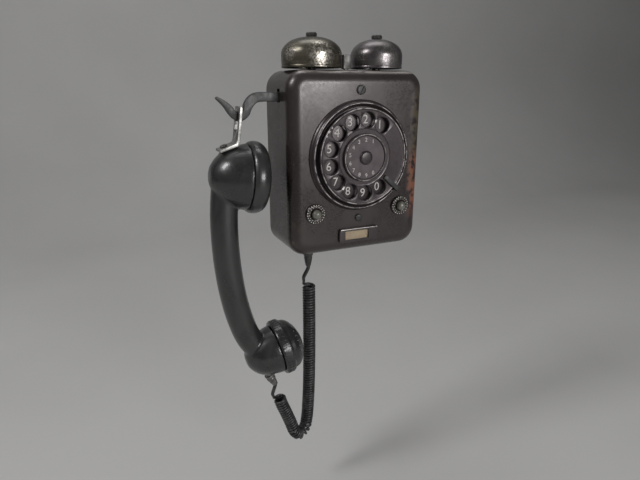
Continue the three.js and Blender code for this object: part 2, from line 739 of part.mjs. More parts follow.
function buildDialFace() {
  const seat = heightY(SEAT_GAP);
  const bezel = turnedY(
    [
      [DIAL_OPENING_R + 1, seat],
      [BEZEL_R, seat],
      [BEZEL_R - 0.3, heightY(1.6)],
      [BEZEL_CREST_R + 0.9, heightY(BEZEL_HEIGHT - 0.7)],
      [BEZEL_CREST_R, heightY(BEZEL_HEIGHT)],
      [BEZEL_CREST_R - 0.9, heightY(BEZEL_HEIGHT - 0.5)],
      [BEZEL_INNER_R, heightY(BEZEL_HEIGHT - 2.2)],
      [BEZEL_INNER_R, heightY(1.4)],
      [DIAL_OPENING_R + 1, heightY(1.4)],
      [DIAL_OPENING_R + 1, seat],
    ],
    0,
    DIAL_Z,
  );
  piece("dial", "dial_bezel", bezel, "dialMetal");

  const plateBack = heightY(NUMBER_PLATE_HEIGHT - NUMBER_PLATE_THICK);
  const numberPlate = turnedY(
    [
      [SHAFT_R + RUN_GAP + 2, plateBack],
      [NUMBER_PLATE_R, plateBack],
      [NUMBER_PLATE_R, heightY(NUMBER_PLATE_HEIGHT)],
      [SHAFT_R + RUN_GAP + 2, heightY(NUMBER_PLATE_HEIGHT)],
      [SHAFT_R + RUN_GAP + 2, plateBack],
    ],
    0,
    DIAL_Z,
  );
  piece("dial", "number_plate", numberPlate, "dialMetal");

  const wheelBack = heightY(WHEEL_HEIGHT - WHEEL_THICK);
  const bore = SHAFT_R + SEAT_GAP;
  const disc = turnedY(
    [
      [bore, wheelBack + 1.6],
      [SHAFT_R + 3.4, wheelBack + 1.6],
      [SHAFT_R + 3.4, wheelBack],
      [WHEEL_R - 0.4, wheelBack],
      [WHEEL_R, wheelBack - WHEEL_THICK * 0.4],
      [WHEEL_R - 0.7, heightY(WHEEL_HEIGHT + 0.5)],
      [WHEEL_R - 2, heightY(WHEEL_HEIGHT)],
      [bore, heightY(WHEEL_HEIGHT)],
      [bore, wheelBack + 1.6],
    ],
    0,
    DIAL_Z,
  );
  const holes = Array.from({ length: HOLE_COUNT }, (_, i) =>
    rodY(HOLE_R, HOLE_CIRCLE_R * Math.cos(holeAngle(i)), DIAL_Z + HOLE_CIRCLE_R * Math.sin(holeAngle(i)),
      heightY(WHEEL_HEIGHT + 2), wheelBack + 3),
  );
  piece("dial_wheel", "finger_wheel", without(disc, ...holes), "dialMetal");

  buildFingerStop();
  buildNumberCard();
}

function buildFingerStop() {
  const inner = HOLE_CIRCLE_R - HOLE_R + 2;
  const outer = BEZEL_CREST_R + 1.6;
  const foot = heightY(BEZEL_HEIGHT + SEAT_GAP);
  const under = heightY(WHEEL_HEIGHT + 1);
  const profile = new THREE.Shape();
  profile.moveTo(outer, -foot);
  profile.lineTo(outer, -under + 0.4);
  profile.lineTo(outer - 1.6, -under + 1.4);
  profile.lineTo(inner + 2.6, -under + 1.4);
  profile.lineTo(inner, -under + 0.5);
  profile.lineTo(inner + 0.6, -under);
  profile.lineTo(outer - 2.4, -under);
  profile.lineTo(outer - 2.4, -foot);
  profile.closePath();
  const geometry = new THREE.ExtrudeGeometry(profile, { depth: 4, bevelEnabled: false });
  geometry.translate(0, 0, -2);
  geometry.rotateX(Math.PI);
  geometry.rotateY(-degrees(FINGER_STOP_DEG));
  geometry.translate(0, 0, DIAL_Z);
  piece("dial", "finger_stop", toSolid(geometry), "wornSteel");
}

function buildNumberCard() {
  const low = heightY(WHEEL_HEIGHT + SEAT_GAP);
  const cardFront = heightY(CARD_RING_HEIGHT - 0.9);
  const cardBack = cardFront + CARD_THICK;
  const bore = SHAFT_R + SEAT_GAP;
  const ring = turnedY(
    [
      [bore, low],
      [CARD_RING_R, low],
      [CARD_RING_R, heightY(CARD_RING_HEIGHT - 1.1)],
      [CARD_RING_R - 1, heightY(CARD_RING_HEIGHT)],
      [CARD_R + SEAT_GAP, heightY(CARD_RING_HEIGHT)],
      [CARD_R + SEAT_GAP, cardBack + SEAT_GAP],
      [bore, cardBack + SEAT_GAP],
      [bore, low],
    ],
    0,
    DIAL_Z,
  );
  piece("dial_wheel", "card_ring", ring, "dialMetal");
  const card = turnedY(
    [
      [bore, cardBack],
      [CARD_R, cardBack],
      [CARD_R, cardFront],
      [bore, cardFront],
      [bore, cardBack],
    ],
    0,
    DIAL_Z,
  );
  piece("dial_wheel", "number_card", card, "card");
  const capBack = cardFront - SEAT_GAP;
  const cap = turnedY(
    [
      [0, capBack],
      [HUB_CAP_R, capBack],
      [HUB_CAP_R, capBack - HUB_CAP_HEIGHT * 0.5],
      [HUB_CAP_R * 0.75, capBack - HUB_CAP_HEIGHT * 0.85],
      [0, capBack - HUB_CAP_HEIGHT],
    ],
    0,
    DIAL_Z,
    ROUND,
  );
  piece("dial_wheel", "hub_cap", cap, "bakelite");
  const shaftFront = capBack + SEAT_GAP;
  piece("dial_wheel", "dial_shaft", rodY(SHAFT_R, 0, DIAL_Z, shaftFront, CASE_FRONT + SHAFT_REACH), "wornSteel");
}

function buildDialWorks() {
  const frameFront = CASE_FRONT + DIAL_FRAME_SETBACK;
  const frameBack = frameFront + DIAL_FRAME_THICK;
  const arborR = 1.2;
  const frame = without(
    turnedY(
      [
        [SHAFT_R + RUN_GAP, frameBack],
        [DIAL_FRAME_R, frameBack],
        [DIAL_FRAME_R, frameFront],
        [SHAFT_R + RUN_GAP, frameFront],
        [SHAFT_R + RUN_GAP, frameBack],
      ],
      0,
      DIAL_Z,
    ),
    rodY(arborR + RUN_GAP, pinionX, pinionZ, frameFront - 1, frameBack + 1),
  );
  piece("dial", "dial_frame", frame, "wornSteel");

  const gearFront = CASE_FRONT + GEAR_SETBACK;
  const gearBack = gearFront + GEAR_THICK;
  const main = without(
    plate(gearOutline(MAIN_TEETH, PINION_DIRECTION_DEG, 0, DIAL_Z), gearBack, GEAR_THICK),
    rodY(SHAFT_R + SEAT_GAP, 0, DIAL_Z, gearFront - 1, gearBack + 1),
    rodY(4, 9, DIAL_Z + 4, gearFront - 1, gearBack + 1),
    rodY(4, -4, DIAL_Z + 9.2, gearFront - 1, gearBack + 1),
    rodY(4, -3, DIAL_Z - 9.6, gearFront - 1, gearBack + 1),
  );
  piece("dial_wheel", "main_gear", main, "brass");

  const halfTooth = 180 / PINION_TEETH;
  const pinionTurn = PINION_DIRECTION_DEG + 180 + halfTooth;
  const cam = new THREE.Shape();
  cam.absellipse(pinionX, pinionZ, 6, 3.2, 0, 2 * Math.PI, false, degrees(35));
  const pinion = union(
    plate(gearOutline(PINION_TEETH, pinionTurn, pinionX, pinionZ), gearBack + 0.6, GEAR_THICK + 1.2),
    rodY(arborR, pinionX, pinionZ, frameFront + 0.4, gearBack + 8),
    plate(cam, gearBack + 4.4, 1.6, TINY_ROUND),
    rodY(4.2, pinionX, pinionZ, gearBack + 5.2, gearBack + 7.2),
  );
  piece("impulse", "impulse_pinion", pinion, "brass");

  buildGovernor(gearBack + 6.2);
  buildDialSpring(gearBack + 2);

  const contactX = pinionX - 8;
  const contactY = gearBack + 3.6;
  const leaf = (x, high) =>
    box([x, contactY - 1.2, pinionZ - 14], [x + 0.4, contactY + 1.2, high]);
  const contacts = union(
    box([contactX - 5, contactY - 2, pinionZ - 20], [contactX + 3.5, contactY + 2, pinionZ - 13]),
    leaf(contactX - 3.4, pinionZ + 4),
    leaf(contactX - 1, pinionZ + 4),
    leaf(contactX + 1.1, pinionZ - 4.6),
  );
  piece("dial", "impulse_contacts", contacts, "brass");
}

const GOVERNOR_OFFSET = 7.4; // from the impulse arbor to the governor's upright shaft, towards the case side
const governorX = pinionX + GOVERNOR_OFFSET;

/** Upright governor: a worm shaft with two fly weights, carried in a bent bracket. */
function buildGovernor(y) {
  const x = governorX;
  const z = pinionZ;
  const spindleR = 0.9;
  const [spindleLow, spindleHigh] = [z - 9, z + 20];
  const [bracketLow, bracketHigh] = [z - 7.6, z + 18.8];
  const strip = 1.2;
  const rotor = union(
    rodZ(2.4, 2.4, x, y, z - 4, z + 4),
    rodZ(spindleR, spindleR, x, y, spindleLow, spindleHigh, TINY_ROUND),
    box([x - 4.6, y - 0.9, z + 9], [x + 4.6, y + 0.9, z + 14]),
    rodZ(5, 5, x, y, z + 15, z + 16.4),
  );
  piece("governor", "governor_rotor", rotor, "brass");
  const bracketBack = y + 8;
  const bracket = without(
    union(
      box([x - 3, y - 3, bracketHigh - strip], [x + 3, bracketBack, bracketHigh]),
      box([x - 3, bracketBack - strip - 0.2, bracketLow], [x + 3, bracketBack, bracketHigh]),
      box([x - 3, y - 3, bracketLow], [x + 3, bracketBack, bracketLow + strip]),
    ),
    rodZ(spindleR + RUN_GAP, spindleR + RUN_GAP, x, y, spindleLow, spindleHigh),
  );
  piece("dial", "governor_bracket", bracket, "wornSteel");
}

/** Flat spiral return spring round the back of the dial shaft. */
function buildDialSpring(yFront) {
  const turns = 2.6;
  const startR = SHAFT_R + 1;
  const pitch = 1.9;
  const strip = 0.5;
  const steps = Math.round(turns * 16);
  const spiral = (offset) =>
    Array.from({ length: steps + 1 }, (_, i) => {
      const angle = (i / 16) * 2 * Math.PI;
      const radius = startR + (pitch * i) / 16 + offset;
      return [radius * Math.cos(angle), DIAL_Z + radius * Math.sin(angle)];
    });
  const shape = polygon([...spiral(0), ...spiral(strip).reverse()]);
  piece("dial", "dial_spring", plate(shape, yFront + 3, 3), "darkSteel");
}

// ================================================================ hook switch
function buildHook() {
  const back = HANG_Y + HOOK_THICK / 2;
  const front = HANG_Y - HOOK_THICK / 2;
  const lever = without(
    union(
      plate(hookOutline(), back, HOOK_THICK),
      rodY(HOOK_BOSS_R, HOOK_PIVOT_X, HOOK_PIVOT_Z, front, back),
    ),
    rodY(HOOK_PIN_R + RUN_GAP, HOOK_PIVOT_X, HOOK_PIVOT_Z, front - 1, back + 1),
  );
  piece("hook", "hook_lever", lever, "darkSteel");

  const cheek = 1.6;
  const cheekFront = front - RUN_GAP - cheek;
  const cheekBack = back + RUN_GAP;
  const low = HOOK_PIVOT_Z - 8;
  const high = HOOK_PIVOT_Z + 7;
  const left = HOOK_PIVOT_X - 7;
  const right = HOOK_PIVOT_X + 7;
  const bracket = without(
    union(
      box([left, cheekFront, low], [right, cheekFront + cheek, high]),
      box([left, cheekBack, low], [right, cheekBack + cheek, high]),
      box([left, cheekFront, low - cheek], [right, PLATE_FRONT - SEAT_GAP, low]),
    ),
    rodY(HOOK_PIN_R + SEAT_GAP, HOOK_PIVOT_X, HOOK_PIVOT_Z, cheekFront - 1, cheekBack + cheek + 1),
  );
  piece("case", "hook_bracket", bracket, "wornSteel");
  piece(
    "case",
    "hook_pin",
    rodY(HOOK_PIN_R, HOOK_PIVOT_X, HOOK_PIVOT_Z, cheekFront - 1, cheekBack + cheek + 1),
    "wornSteel",
  );

  const leafTop = HOOK_BAR_BOTTOM - 3.2;
  const leafAt = (high) => box([HOOK_TAIL_X - 8, HANG_Y - 2, high - 0.5], [HOOK_TAIL_X + 3, HANG_Y + 2, high]);
  const contacts = union(
    box([HOOK_TAIL_X + 2, HANG_Y - 4, leafTop - 9], [HOOK_TAIL_X + 8, PLATE_FRONT - SEAT_GAP, leafTop + 1]),
    ...[0, 1, 2].map((i) => leafAt(leafTop - i * 3)),
  );
  piece("case", "hook_contacts", contacts, "brass");
}

// ================================================================ speech circuit inside the case
function buildCircuit() {
  const back = PLATE_FRONT - SEAT_GAP;
  const coilX = 26;
  const coilZ = CASE_BOTTOM + 27;
  const coilLength = 34;
  const cheekThick = 1.6;
  const cheek = (x) => box([x, back - 22, coilZ - 9], [x + cheekThick, back, coilZ + 9]);
  const winding = new THREE.CylinderGeometry(7.6, 7.6, coilLength, SMALL_ROUND);
  winding.rotateZ(Math.PI / 2);
  winding.translate(coilX, back - 13, coilZ);
  const cheeks = [cheek(coilX - coilLength / 2), cheek(coilX + coilLength / 2 - cheekThick)];
  piece("circuit", "induction_coil", union(toSolid(winding), ...cheeks), "copper");

  const canWidth = 26;
  const canLeft = GLAND_X + 1.6 - canWidth / 2;
  const canLow = CASE_BOTTOM + 10;
  const glandRoom = rodZ(8, 8, GLAND_X, GLAND_Y, canLow - 2, canLow + 8);
  const can = box([canLeft, back - 17, canLow], [canLeft + canWidth, back, canLow + 32]);
  piece("circuit", "capacitor", can.subtract(glandRoom), "wornSteel");

  const terminals = 5;
  const terminalStep = 8.5;
  const blockLow = CASE_BOTTOM + 5;
  let block = box([6, back - 9, blockLow], [50, back, blockLow + 10]);
  for (let i = 0; i < terminals; i += 1) {
    block = block.add(rodY(2, 11 + i * terminalStep, blockLow + 5, back - 11, back - 8, TINY_ROUND));
  }
  piece("circuit", "terminal_block", block, "bakelite");
}

// ================================================================ handset
const EAR = [EAR_X, EAR_Z];
const MOUTH = [MOUTH_X, MOUTH_Z];
const ALONG_EAR_BACK = -6.6;
const ALONG_MOUTH_BACK = -4.8;

const HANDLE_PATH = [
  [-44.9, -77.2], [-46.9, -93], [-48.7, -112.7], [-48.9, -136.3], [-47.5, -160],
  [-44.1, -185.6], [-39.6, -205.3], [-33.5, -223], [-25.2, -236.8],
].map(hung);
const EAR_DOME = [
  [0, -36], [6.4, -35.5], [10.8, -33.5], [15.2, -30.3], [18.7, -26.4], [21.6, -21.7], [23.9, -15.8], [26, -9.8],
  [26.8, ALONG_EAR_BACK], [0, ALONG_EAR_BACK],
];
const MOUTH_DOME = [
  [0, -34.5], [5.9, -33.7], [10.8, -31.1], [15.4, -27], [18.3, -22.3], [20.1, -16.7], [21.5, -9.8],
  [22.1, ALONG_MOUTH_BACK], [0, ALONG_MOUTH_BACK],
];
// seat of the hanger's foot on the ear housing
const [FOOT_LEFT, FOOT_RIGHT] = [[-50.4, -60.3], [-37.6, -55.6]].map(hung);
const FOOT = { x0: FOOT_LEFT[0], z0: FOOT_LEFT[1], x1: FOOT_RIGHT[0], z1: FOOT_RIGHT[1] };

// bent strip of the hanger above its foot, up one face and down the other
const HANGER_STRIP = [
  [-36.6, -52], [-33.7, -30], [-33.5, -27.1], [-31.3, -27.1], [-31.4, -30.4], [-34.2, -52.8], [-35.7, -56.2],
];

function hangerProfile(grow) {
  const t = HANGER_THICK / 2 + grow;
  const slope = Math.atan2(FOOT.z1 - FOOT.z0, FOOT.x1 - FOOT.x0);
  const [nx, nz] = [-Math.sin(slope) * t, Math.cos(slope) * t];
  return polygon([
    [FOOT.x0 + nx, FOOT.z0 + nz],
    [FOOT.x1 + nx + 0.4, FOOT.z1 + nz + 0.2],
    ...HANGER_STRIP.map(hung),
    [FOOT.x1 - nx + 1.4, FOOT.z1 - nz],
    [FOOT.x0 - nx, FOOT.z0 - nz],
  ]);
}

function ferruleAt(along) {
  const tilt = degrees(FERRULE_TILT_DEG);
  return [FERRULE_X + along * Math.sin(tilt), FERRULE_Z - along * Math.cos(tilt)];
}

/** Cone along the ferrule's axis; distances are measured down from the handset's skin. */
function ferruleCone(startR, endR, start, end, sides = 16) {
  const geometry = new THREE.CylinderGeometry(startR, endR, end - start, sides);
  geometry.rotateX(Math.PI / 2);
  geometry.translate(0, 0, -(start + end) / 2);
  geometry.rotateY(-degrees(FERRULE_TILT_DEG));
  geometry.translate(FERRULE_X, HANG_Y, FERRULE_Z);
  return toSolid(geometry);
}

function buildHandset() {
  const handle = bar(HANDLE_PATH.map(([x, z]) => [x, HANG_Y, z]), HANDLE_R, HANDLE_SIDES, 14);
  const padDrop = 6;
  const pad = plate(
    polygon([
      [FOOT.x0 + 1.2, FOOT.z0 - padDrop],
      [FOOT.x1 - 0.4, FOOT.z1 - padDrop - 3],
      [FOOT.x1 - 0.4 + 0.45, FOOT.z1 - HANGER_THICK / 2 - SEAT_GAP - 0.25],
      [FOOT.x0 + 1.2 + 0.45, FOOT.z0 - HANGER_THICK / 2 - SEAT_GAP + 0.2],
    ]),
    HANG_Y + 5.5,
    11,
  );
  const body = without(
    union(handle, turnedHanging(EAR_DOME, EAR, EAR_TILT_DEG), turnedHanging(MOUTH_DOME, MOUTH, MOUTH_TILT_DEG), pad),
    turnedHanging([[0, -15.4], [EAR_CAVITY_R, -15.4], [EAR_CAVITY_R, 0], [0, 0]], EAR, EAR_TILT_DEG),
    turnedHanging([[0, -13], [MOUTH_CAVITY_R, -13], [MOUTH_CAVITY_R, 0], [0, 0]], MOUTH, MOUTH_TILT_DEG),
    ferruleCone(3 + SEAT_GAP, 3 + SEAT_GAP, -6, 4),
    plate(hangerProfile(SEAT_GAP), HANG_Y + HANGER_WIDTH / 2 + SEAT_GAP, HANGER_WIDTH + 2 * SEAT_GAP),
    hangerScrew(HANGER_SCREW_R + SEAT_GAP, 7.6),
  );
  piece("handset", "handset_body", body, "bakelite");

  buildEarCap();
  buildMouthCap();

  const receiver = turnedHanging(
    [
      [0, -15], [15, -15], [EAR_CAVITY_R - 0.6, -12], [EAR_CAVITY_R - 0.6, -3.2], [14, -3.2], [12, 1.2], [0, 1.2],
    ],
    EAR,
    EAR_TILT_DEG,
    SMALL_ROUND,
  );
  piece("handset", "receiver_capsule", receiver, "wornSteel");
  const transmitter = turnedHanging(
    [
      [0, -12.6], [12, -12.6], [MOUTH_CAVITY_R - 0.5, -10], [MOUTH_CAVITY_R - 0.5, 3], [10, 6], [0, 6],
    ],
    MOUTH,
    MOUTH_TILT_DEG,
    SMALL_ROUND,
  );
  piece("handset", "transmitter_capsule", transmitter, "wornSteel");

  buildHanger();

  const ferrule = without(
    union(
      ferruleCone(3, 3, -5.4, 2.4),
      ferruleCone(FERRULE_R, FERRULE_R - 0.4, 2, 8),
      ferruleCone(FERRULE_R - 0.6, 2.4, 7.6, 15.6),
    ),
    ferruleCone(CORD_R + SEAT_GAP, CORD_R + SEAT_GAP, 10, 17),
  );
  piece("handset", "handset_ferrule", ferrule, "wornSteel");
}

/** Ear cap: a shallow dished front with a ring of sound holes. */
function buildEarCap() {
  const inner = EAR_CAVITY_R;
  const cap = turnedHanging(
    [
      [inner, ALONG_EAR_BACK + SEAT_GAP],
      [EAR_CAP_R - 2, ALONG_EAR_BACK + SEAT_GAP],
      [EAR_CAP_R - 0.3, -4],
      [EAR_CAP_R, -2],
      [EAR_CAP_R, 0.8],
      [EAR_CAP_R - 1.2, 4.4],
      [EAR_CAP_R - 3.4, 6.8],
      [EAR_CAP_R - 6, 7.2],
      [14, 5.4],
      [0, 4.8],
      [0, 4.8 - CAP_WALL],
      [14, 5.2 - CAP_WALL],
      [inner, 4.2],
      [inner, ALONG_EAR_BACK + SEAT_GAP],
    ],
    EAR,
    EAR_TILT_DEG,
  );
  piece("handset", "ear_cap", without(cap, ...soundHoles(EAR, EAR_TILT_DEG, 6, 7, 1.5, 0, 12)), "bakelite");
}

/** Mouth cap: a gripped flange and a domed, perforated front. */
function buildMouthCap() {
  const inner = MOUTH_CAVITY_R;
  const cap = turnedHanging(
    [
      [inner, ALONG_MOUTH_BACK + SEAT_GAP],
      [MOUTH_CAP_R - 0.8, ALONG_MOUTH_BACK + SEAT_GAP],
      [MOUTH_CAP_R, -3.4],
      [MOUTH_CAP_R, 3.4],
      [MOUTH_CAP_R - 0.9, 4.4],
      [23, 5],
      [22, 9.4],
      [19.6, 12.4],
      [14.6, 16],
      [8, 18.4],
      [0, 19.2],
      [0, 19.2 - CAP_WALL],
      [7.6, 18.4 - CAP_WALL],
      [13.6, 16.2 - CAP_WALL],
      [17.6, 12.8 - CAP_WALL],
      [inner, 9.6 - CAP_WALL],
      [inner, ALONG_MOUTH_BACK + SEAT_GAP],
    ],
    MOUTH,
    MOUTH_TILT_DEG,
  );
  const holes = [
    ...soundHoles(MOUTH, MOUTH_TILT_DEG, 6, 6, 1.1, 12, 24),
    ...soundHoles(MOUTH, MOUTH_TILT_DEG, 12, 12, 1.1, 9, 24),
  ];
  piece("handset", "mouth_cap", without(cap, ...holes), "bakelite");
}

/** Round cutters in a ring about a hanging axis. */
function soundHoles(centre, tiltDeg, ringR, count, radius, from, to) {
  return Array.from({ length: count }, (_, i) => {
    const angle = (i / count) * 2 * Math.PI;
    const geometry = new THREE.CylinderGeometry(radius, radius, to - from, 5);
    geometry.translate(ringR * Math.cos(angle), (from + to) / 2, ringR * Math.sin(angle));
    geometry.rotateZ(-Math.PI / 2);
    geometry.rotateY(-degrees(tiltDeg));
    geometry.translate(centre[0], HANG_Y, centre[1]);
    return toSolid(geometry);
  });
}

const [SCREW_X, SCREW_Z] = hung([-45.5, -58.4]);

function hangerScrew(radius, length, headR = 0, headThick = 0) {
  const slope = Math.atan2(FOOT.z1 - FOOT.z0, FOOT.x1 - FOOT.x0);
  const lift = HANGER_THICK / 2 + SEAT_GAP;
  const place = (geometry) => {
    geometry.rotateX(Math.PI / 2);
    geometry.rotateY(-slope);
    geometry.translate(SCREW_X, HANG_Y, SCREW_Z);
    return toSolid(geometry);
  };
  const shank = new THREE.CylinderGeometry(radius, radius, length + lift, TINY_ROUND);
  shank.translate(0, lift - (length + lift) / 2 + (headThick ? 0.2 : 0), 0);
  if (!headThick) return place(shank);
  const head = new THREE.CylinderGeometry(headR * 0.8, headR, headThick, SMALL_ROUND);
  head.translate(0, lift + headThick / 2, 0);
  return union(place(shank), place(head));
}

function buildHanger() {
  const half = HANGER_WIDTH / 2;
  const slotHalf = HANGER_SLOT_WIDTH / 2;
  const hanger = without(
    plate(hangerProfile(0), HANG_Y + half, HANGER_WIDTH),
    box([SCREW_X, HANG_Y - slotHalf, CASE_TOP - 46.9], [CASE_LEFT - 20, HANG_Y + slotHalf, CASE_TOP - 30.8]),
    hangerScrew(HANGER_SCREW_R + SEAT_GAP, 7.6),
  );
  piece("handset", "hanger_plate", hanger, "wornSteel");
  piece("handset", "hanger_screw", hangerScrew(HANGER_SCREW_R, 6.6, 3, 1.4), "darkSteel");
}

// ================================================================ cord
const GLAND_TIP_Z = CASE_BOTTOM - GLAND_LENGTH;
const COIL_TOP_DROP = 19.5; // below the gland's tip
// right leg of the coil: [x and z from the gland's tip]
const COIL_FROM_GLAND = [
  [0.4, -COIL_TOP_DROP], [0.6, -41.2], [0.6, -66.2], [0.4, -92.2], [-0.2, -120.2], [-1.2, -142.2], [-2.6, -159.2],
];
// bottom of the loop: [x and z from the gland's tip, y]
const COIL_LOOP = [[-5.4, -169.4, -25], [-11.8, -173.7, -27]];
// left leg of the coil, and the straight lead above it: [x and z from the handset's ferrule]
const COIL_TO_HANDSET = [[25.1, -70.8], [20.8, -58.3], [16.7, -46.9], [12.9, -37.6], [10.8, -30.7]];
const HANDSET_LEAD = [[10, -28.4], [9, -23.3]];

function buildCord() {
  const neck = GLAND_TOP_R - 1.2;
  const inside = CASE_BOTTOM + CASE_WALL;
  const gland = without(
    union(
      rodZ(neck + 1.6, neck + 1.6, GLAND_X, GLAND_Y, inside + SEAT_GAP, inside + 2.2),
      rodZ(neck, neck, GLAND_X, GLAND_Y, CASE_BOTTOM - 1, inside + 1),
      rodZ(GLAND_TOP_R, GLAND_TIP_R, GLAND_X, GLAND_Y, GLAND_TIP_Z, CASE_BOTTOM - SEAT_GAP),
    ),
    rodZ(CORD_R + SEAT_GAP, CORD_R + SEAT_GAP, GLAND_X, GLAND_Y, GLAND_TIP_Z - 1, GLAND_TIP_Z + 4),
  );
  piece("cord", "cord_gland", gland, "rubber");

  const fromGland = ([x, z], y = GLAND_Y) => [GLAND_X + x, y, GLAND_TIP_Z + z];
  const fromFerrule = ([x, z]) => [FERRULE_X + x, HANG_Y, FERRULE_Z + z];
  const caseLead = [[0, 3.4], [0, -7.2], [0.2, -13.2], [0.4, SEAT_GAP - COIL_TOP_DROP]];
  piece("cord", "case_lead", bar(caseLead.map((point) => fromGland(point)), CORD_R, TINY_ROUND, 6), "rubber");
  const coil = [
    ...COIL_FROM_GLAND.map((point) => fromGland(point)),
    ...COIL_LOOP.map(([x, z, y]) => fromGland([x, z], y)),
    ...COIL_TO_HANDSET.map(fromFerrule),
  ];
  piece("cord", "coiled_cord", bar(coil, COIL_CORD_R, 10, 44), "rubber");
  const [tip, middle] = [ferruleAt(11), ferruleAt(18.4)];
  const handsetLead = [
    ...HANDSET_LEAD.map(fromFerrule), [middle[0], HANG_Y, middle[1]], [tip[0], HANG_Y, tip[1]],
  ];
  piece("cord", "handset_lead", bar(handsetLead, CORD_R, TINY_ROUND, 6), "rubber");
}

// ================================================================ assembly
buildCase();
buildLabel();
SIDES.forEach(buildButton);
SIDES.forEach(buildBell);
buildRinger();
buildDialFace();
buildDialWorks();
buildHook();
buildCircuit();
buildHandset();
buildCord();

export default telephone;
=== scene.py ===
"""Rotary wall telephone: enamelled steel case, two bells, finger-wheel dial, side hook and handset on a curly cord.

Sizes are in millimetres in the object's frame (X right, Y into the wall, Z up) and become metres in the meshes.
"""
import logging
import math
from dataclasses import dataclass, field
from enum import Enum

import bmesh
import bpy
from mathutils import Matrix, Vector


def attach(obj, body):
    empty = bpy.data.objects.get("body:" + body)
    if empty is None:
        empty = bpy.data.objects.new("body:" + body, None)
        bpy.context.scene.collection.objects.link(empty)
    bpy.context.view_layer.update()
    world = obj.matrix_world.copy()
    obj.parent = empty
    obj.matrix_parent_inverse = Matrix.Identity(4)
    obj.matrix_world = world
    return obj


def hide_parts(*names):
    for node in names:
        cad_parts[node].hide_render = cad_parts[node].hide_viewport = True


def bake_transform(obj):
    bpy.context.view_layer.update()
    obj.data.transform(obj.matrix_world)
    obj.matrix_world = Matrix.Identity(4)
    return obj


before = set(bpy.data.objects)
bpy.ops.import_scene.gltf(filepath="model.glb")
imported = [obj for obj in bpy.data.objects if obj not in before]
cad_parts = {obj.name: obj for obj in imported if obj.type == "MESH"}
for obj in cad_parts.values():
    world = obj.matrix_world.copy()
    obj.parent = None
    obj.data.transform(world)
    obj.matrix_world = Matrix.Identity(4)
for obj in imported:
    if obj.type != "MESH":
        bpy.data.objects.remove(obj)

logging.basicConfig(level=logging.INFO, format="%(name)s: %(message)s")
LOG = logging.getLogger("wall_telephone")

MM = 0.001
TAU = 2 * math.pi

Point = tuple[float, float, float]
Profile = list[tuple[float, float]]
Face = tuple[int, ...]
Piece = bpy.types.Object
Socket = bpy.types.NodeSocket
Finish = bpy.types.Material

CASE_WIDTH, CASE_HEIGHT, CASE_DEPTH = 121.0, 148.5, 54.5
CASE_FRONT, CASE_TOP = -CASE_DEPTH, CASE_HEIGHT / 2
CASE_LEFT, CASE_BOTTOM = -CASE_WIDTH / 2, -CASE_HEIGHT / 2
SEAT = 0.3                                              # gap between a piece and what it is fixed to
HANG_Y = -30.0                                          # plane of the hook and the handset
DIAL_Z = 7.0
BUTTON_X, BUTTON_Z = 40.0, -37.6
GLAND = (CASE_LEFT + 26.9, -24.0)                       # X and Y of the cord's hole in the underside
FERRULE = (CASE_LEFT - 16.7, CASE_TOP - 263.8)          # X and Z where the cord enters the handset
FERRULE_TILT = 27                                       # degrees from straight down, towards the case


class Slot(Enum):
    """Names of the record's material slots."""

    ENAMEL = "case_enamel"
    BELL_BROWN = "bell_brown"
    BELL_GREY = "bell_grey"
    DIAL_METAL = "dial_metal"
    DIAL_CARD = "dial_card"
    BAKELITE = "bakelite"
    BRIGHT_STEEL = "bright_steel"
    DARK_STEEL = "dark_steel"
    LABEL_PAPER = "label_paper"
    CLEAR_WINDOW = "clear_window"
    RUBBER = "cord_rubber"


# ---------------------------------------------------------------------------------------------- mesh code
def make_object(name: str, corners: list[Point], faces: list[Face]) -> Piece:
    """Make a mesh object from corners in millimetres.

    Args:
        name: the piece's name.
        corners: points in millimetres in the object's frame.
        faces: indices into corners.

    Returns:
        The object, at the origin, with its faces pointing out.
    """
    mesh = bpy.data.meshes.new(name)
    mesh.from_pydata([(x * MM, y * MM, z * MM) for x, y, z in corners], [], faces)
    made = bpy.data.objects.new(name, mesh)
    bpy.context.scene.collection.objects.link(made)
    tidy_normals(made)
    return made


def tidy_normals(piece: Piece) -> None:
    """Merge doubles and turn every face outwards."""
    soup = bmesh.new()
    soup.from_mesh(piece.data)
    bmesh.ops.remove_doubles(soup, verts=soup.verts, dist=2e-7)
    bmesh.ops.dissolve_degenerate(soup, edges=soup.edges, dist=1e-8)
    bmesh.ops.recalc_face_normals(soup, faces=soup.faces)
    soup.to_mesh(piece.data)
    soup.free()


def smooth(piece: Piece, angle_deg: float = 32) -> Piece:
    """Shade smooth, with edges sharper than the angle kept crisp."""
    piece.data.shade_smooth()
    piece.data.set_sharp_from_angle(angle=math.radians(angle_deg))
    return piece


def bake(piece: Piece) -> Piece:
    """Turn the piece and its modifiers into a plain mesh."""
    bpy.context.view_layer.update()
    graph = bpy.context.evaluated_depsgraph_get()
    solid = bpy.data.meshes.new_from_object(piece.evaluated_get(graph), depsgraph=graph)
    piece.modifiers.clear()
    old = piece.data
    piece.data = solid
    bpy.data.meshes.remove(old)
    solid.name = piece.name
    return piece


def cut(piece: Piece, cutter: Piece, operation: str = "DIFFERENCE") -> Piece:
    """Boolean the cutter with the piece, and remove the cutter."""
    modifier = piece.modifiers.new("cut", "BOOLEAN")
    modifier.operation = operation
    modifier.solver = "EXACT"
    modifier.object = cutter
    bake(piece)
    bpy.data.objects.remove(cutter)
    return piece


def join(name: str, pieces: list[Piece]) -> Piece:
    """Put several meshes in one object, with no change to their faces."""
    soup = bmesh.new()
    for one in pieces:
        soup.from_mesh(one.data)
    mesh = bpy.data.meshes.new(name)
    soup.to_mesh(mesh)
    soup.free()
    for one in pieces:
        bpy.data.objects.remove(one)
    made = bpy.data.objects.new(name, mesh)
    bpy.context.scene.collection.objects.link(made)
    return made


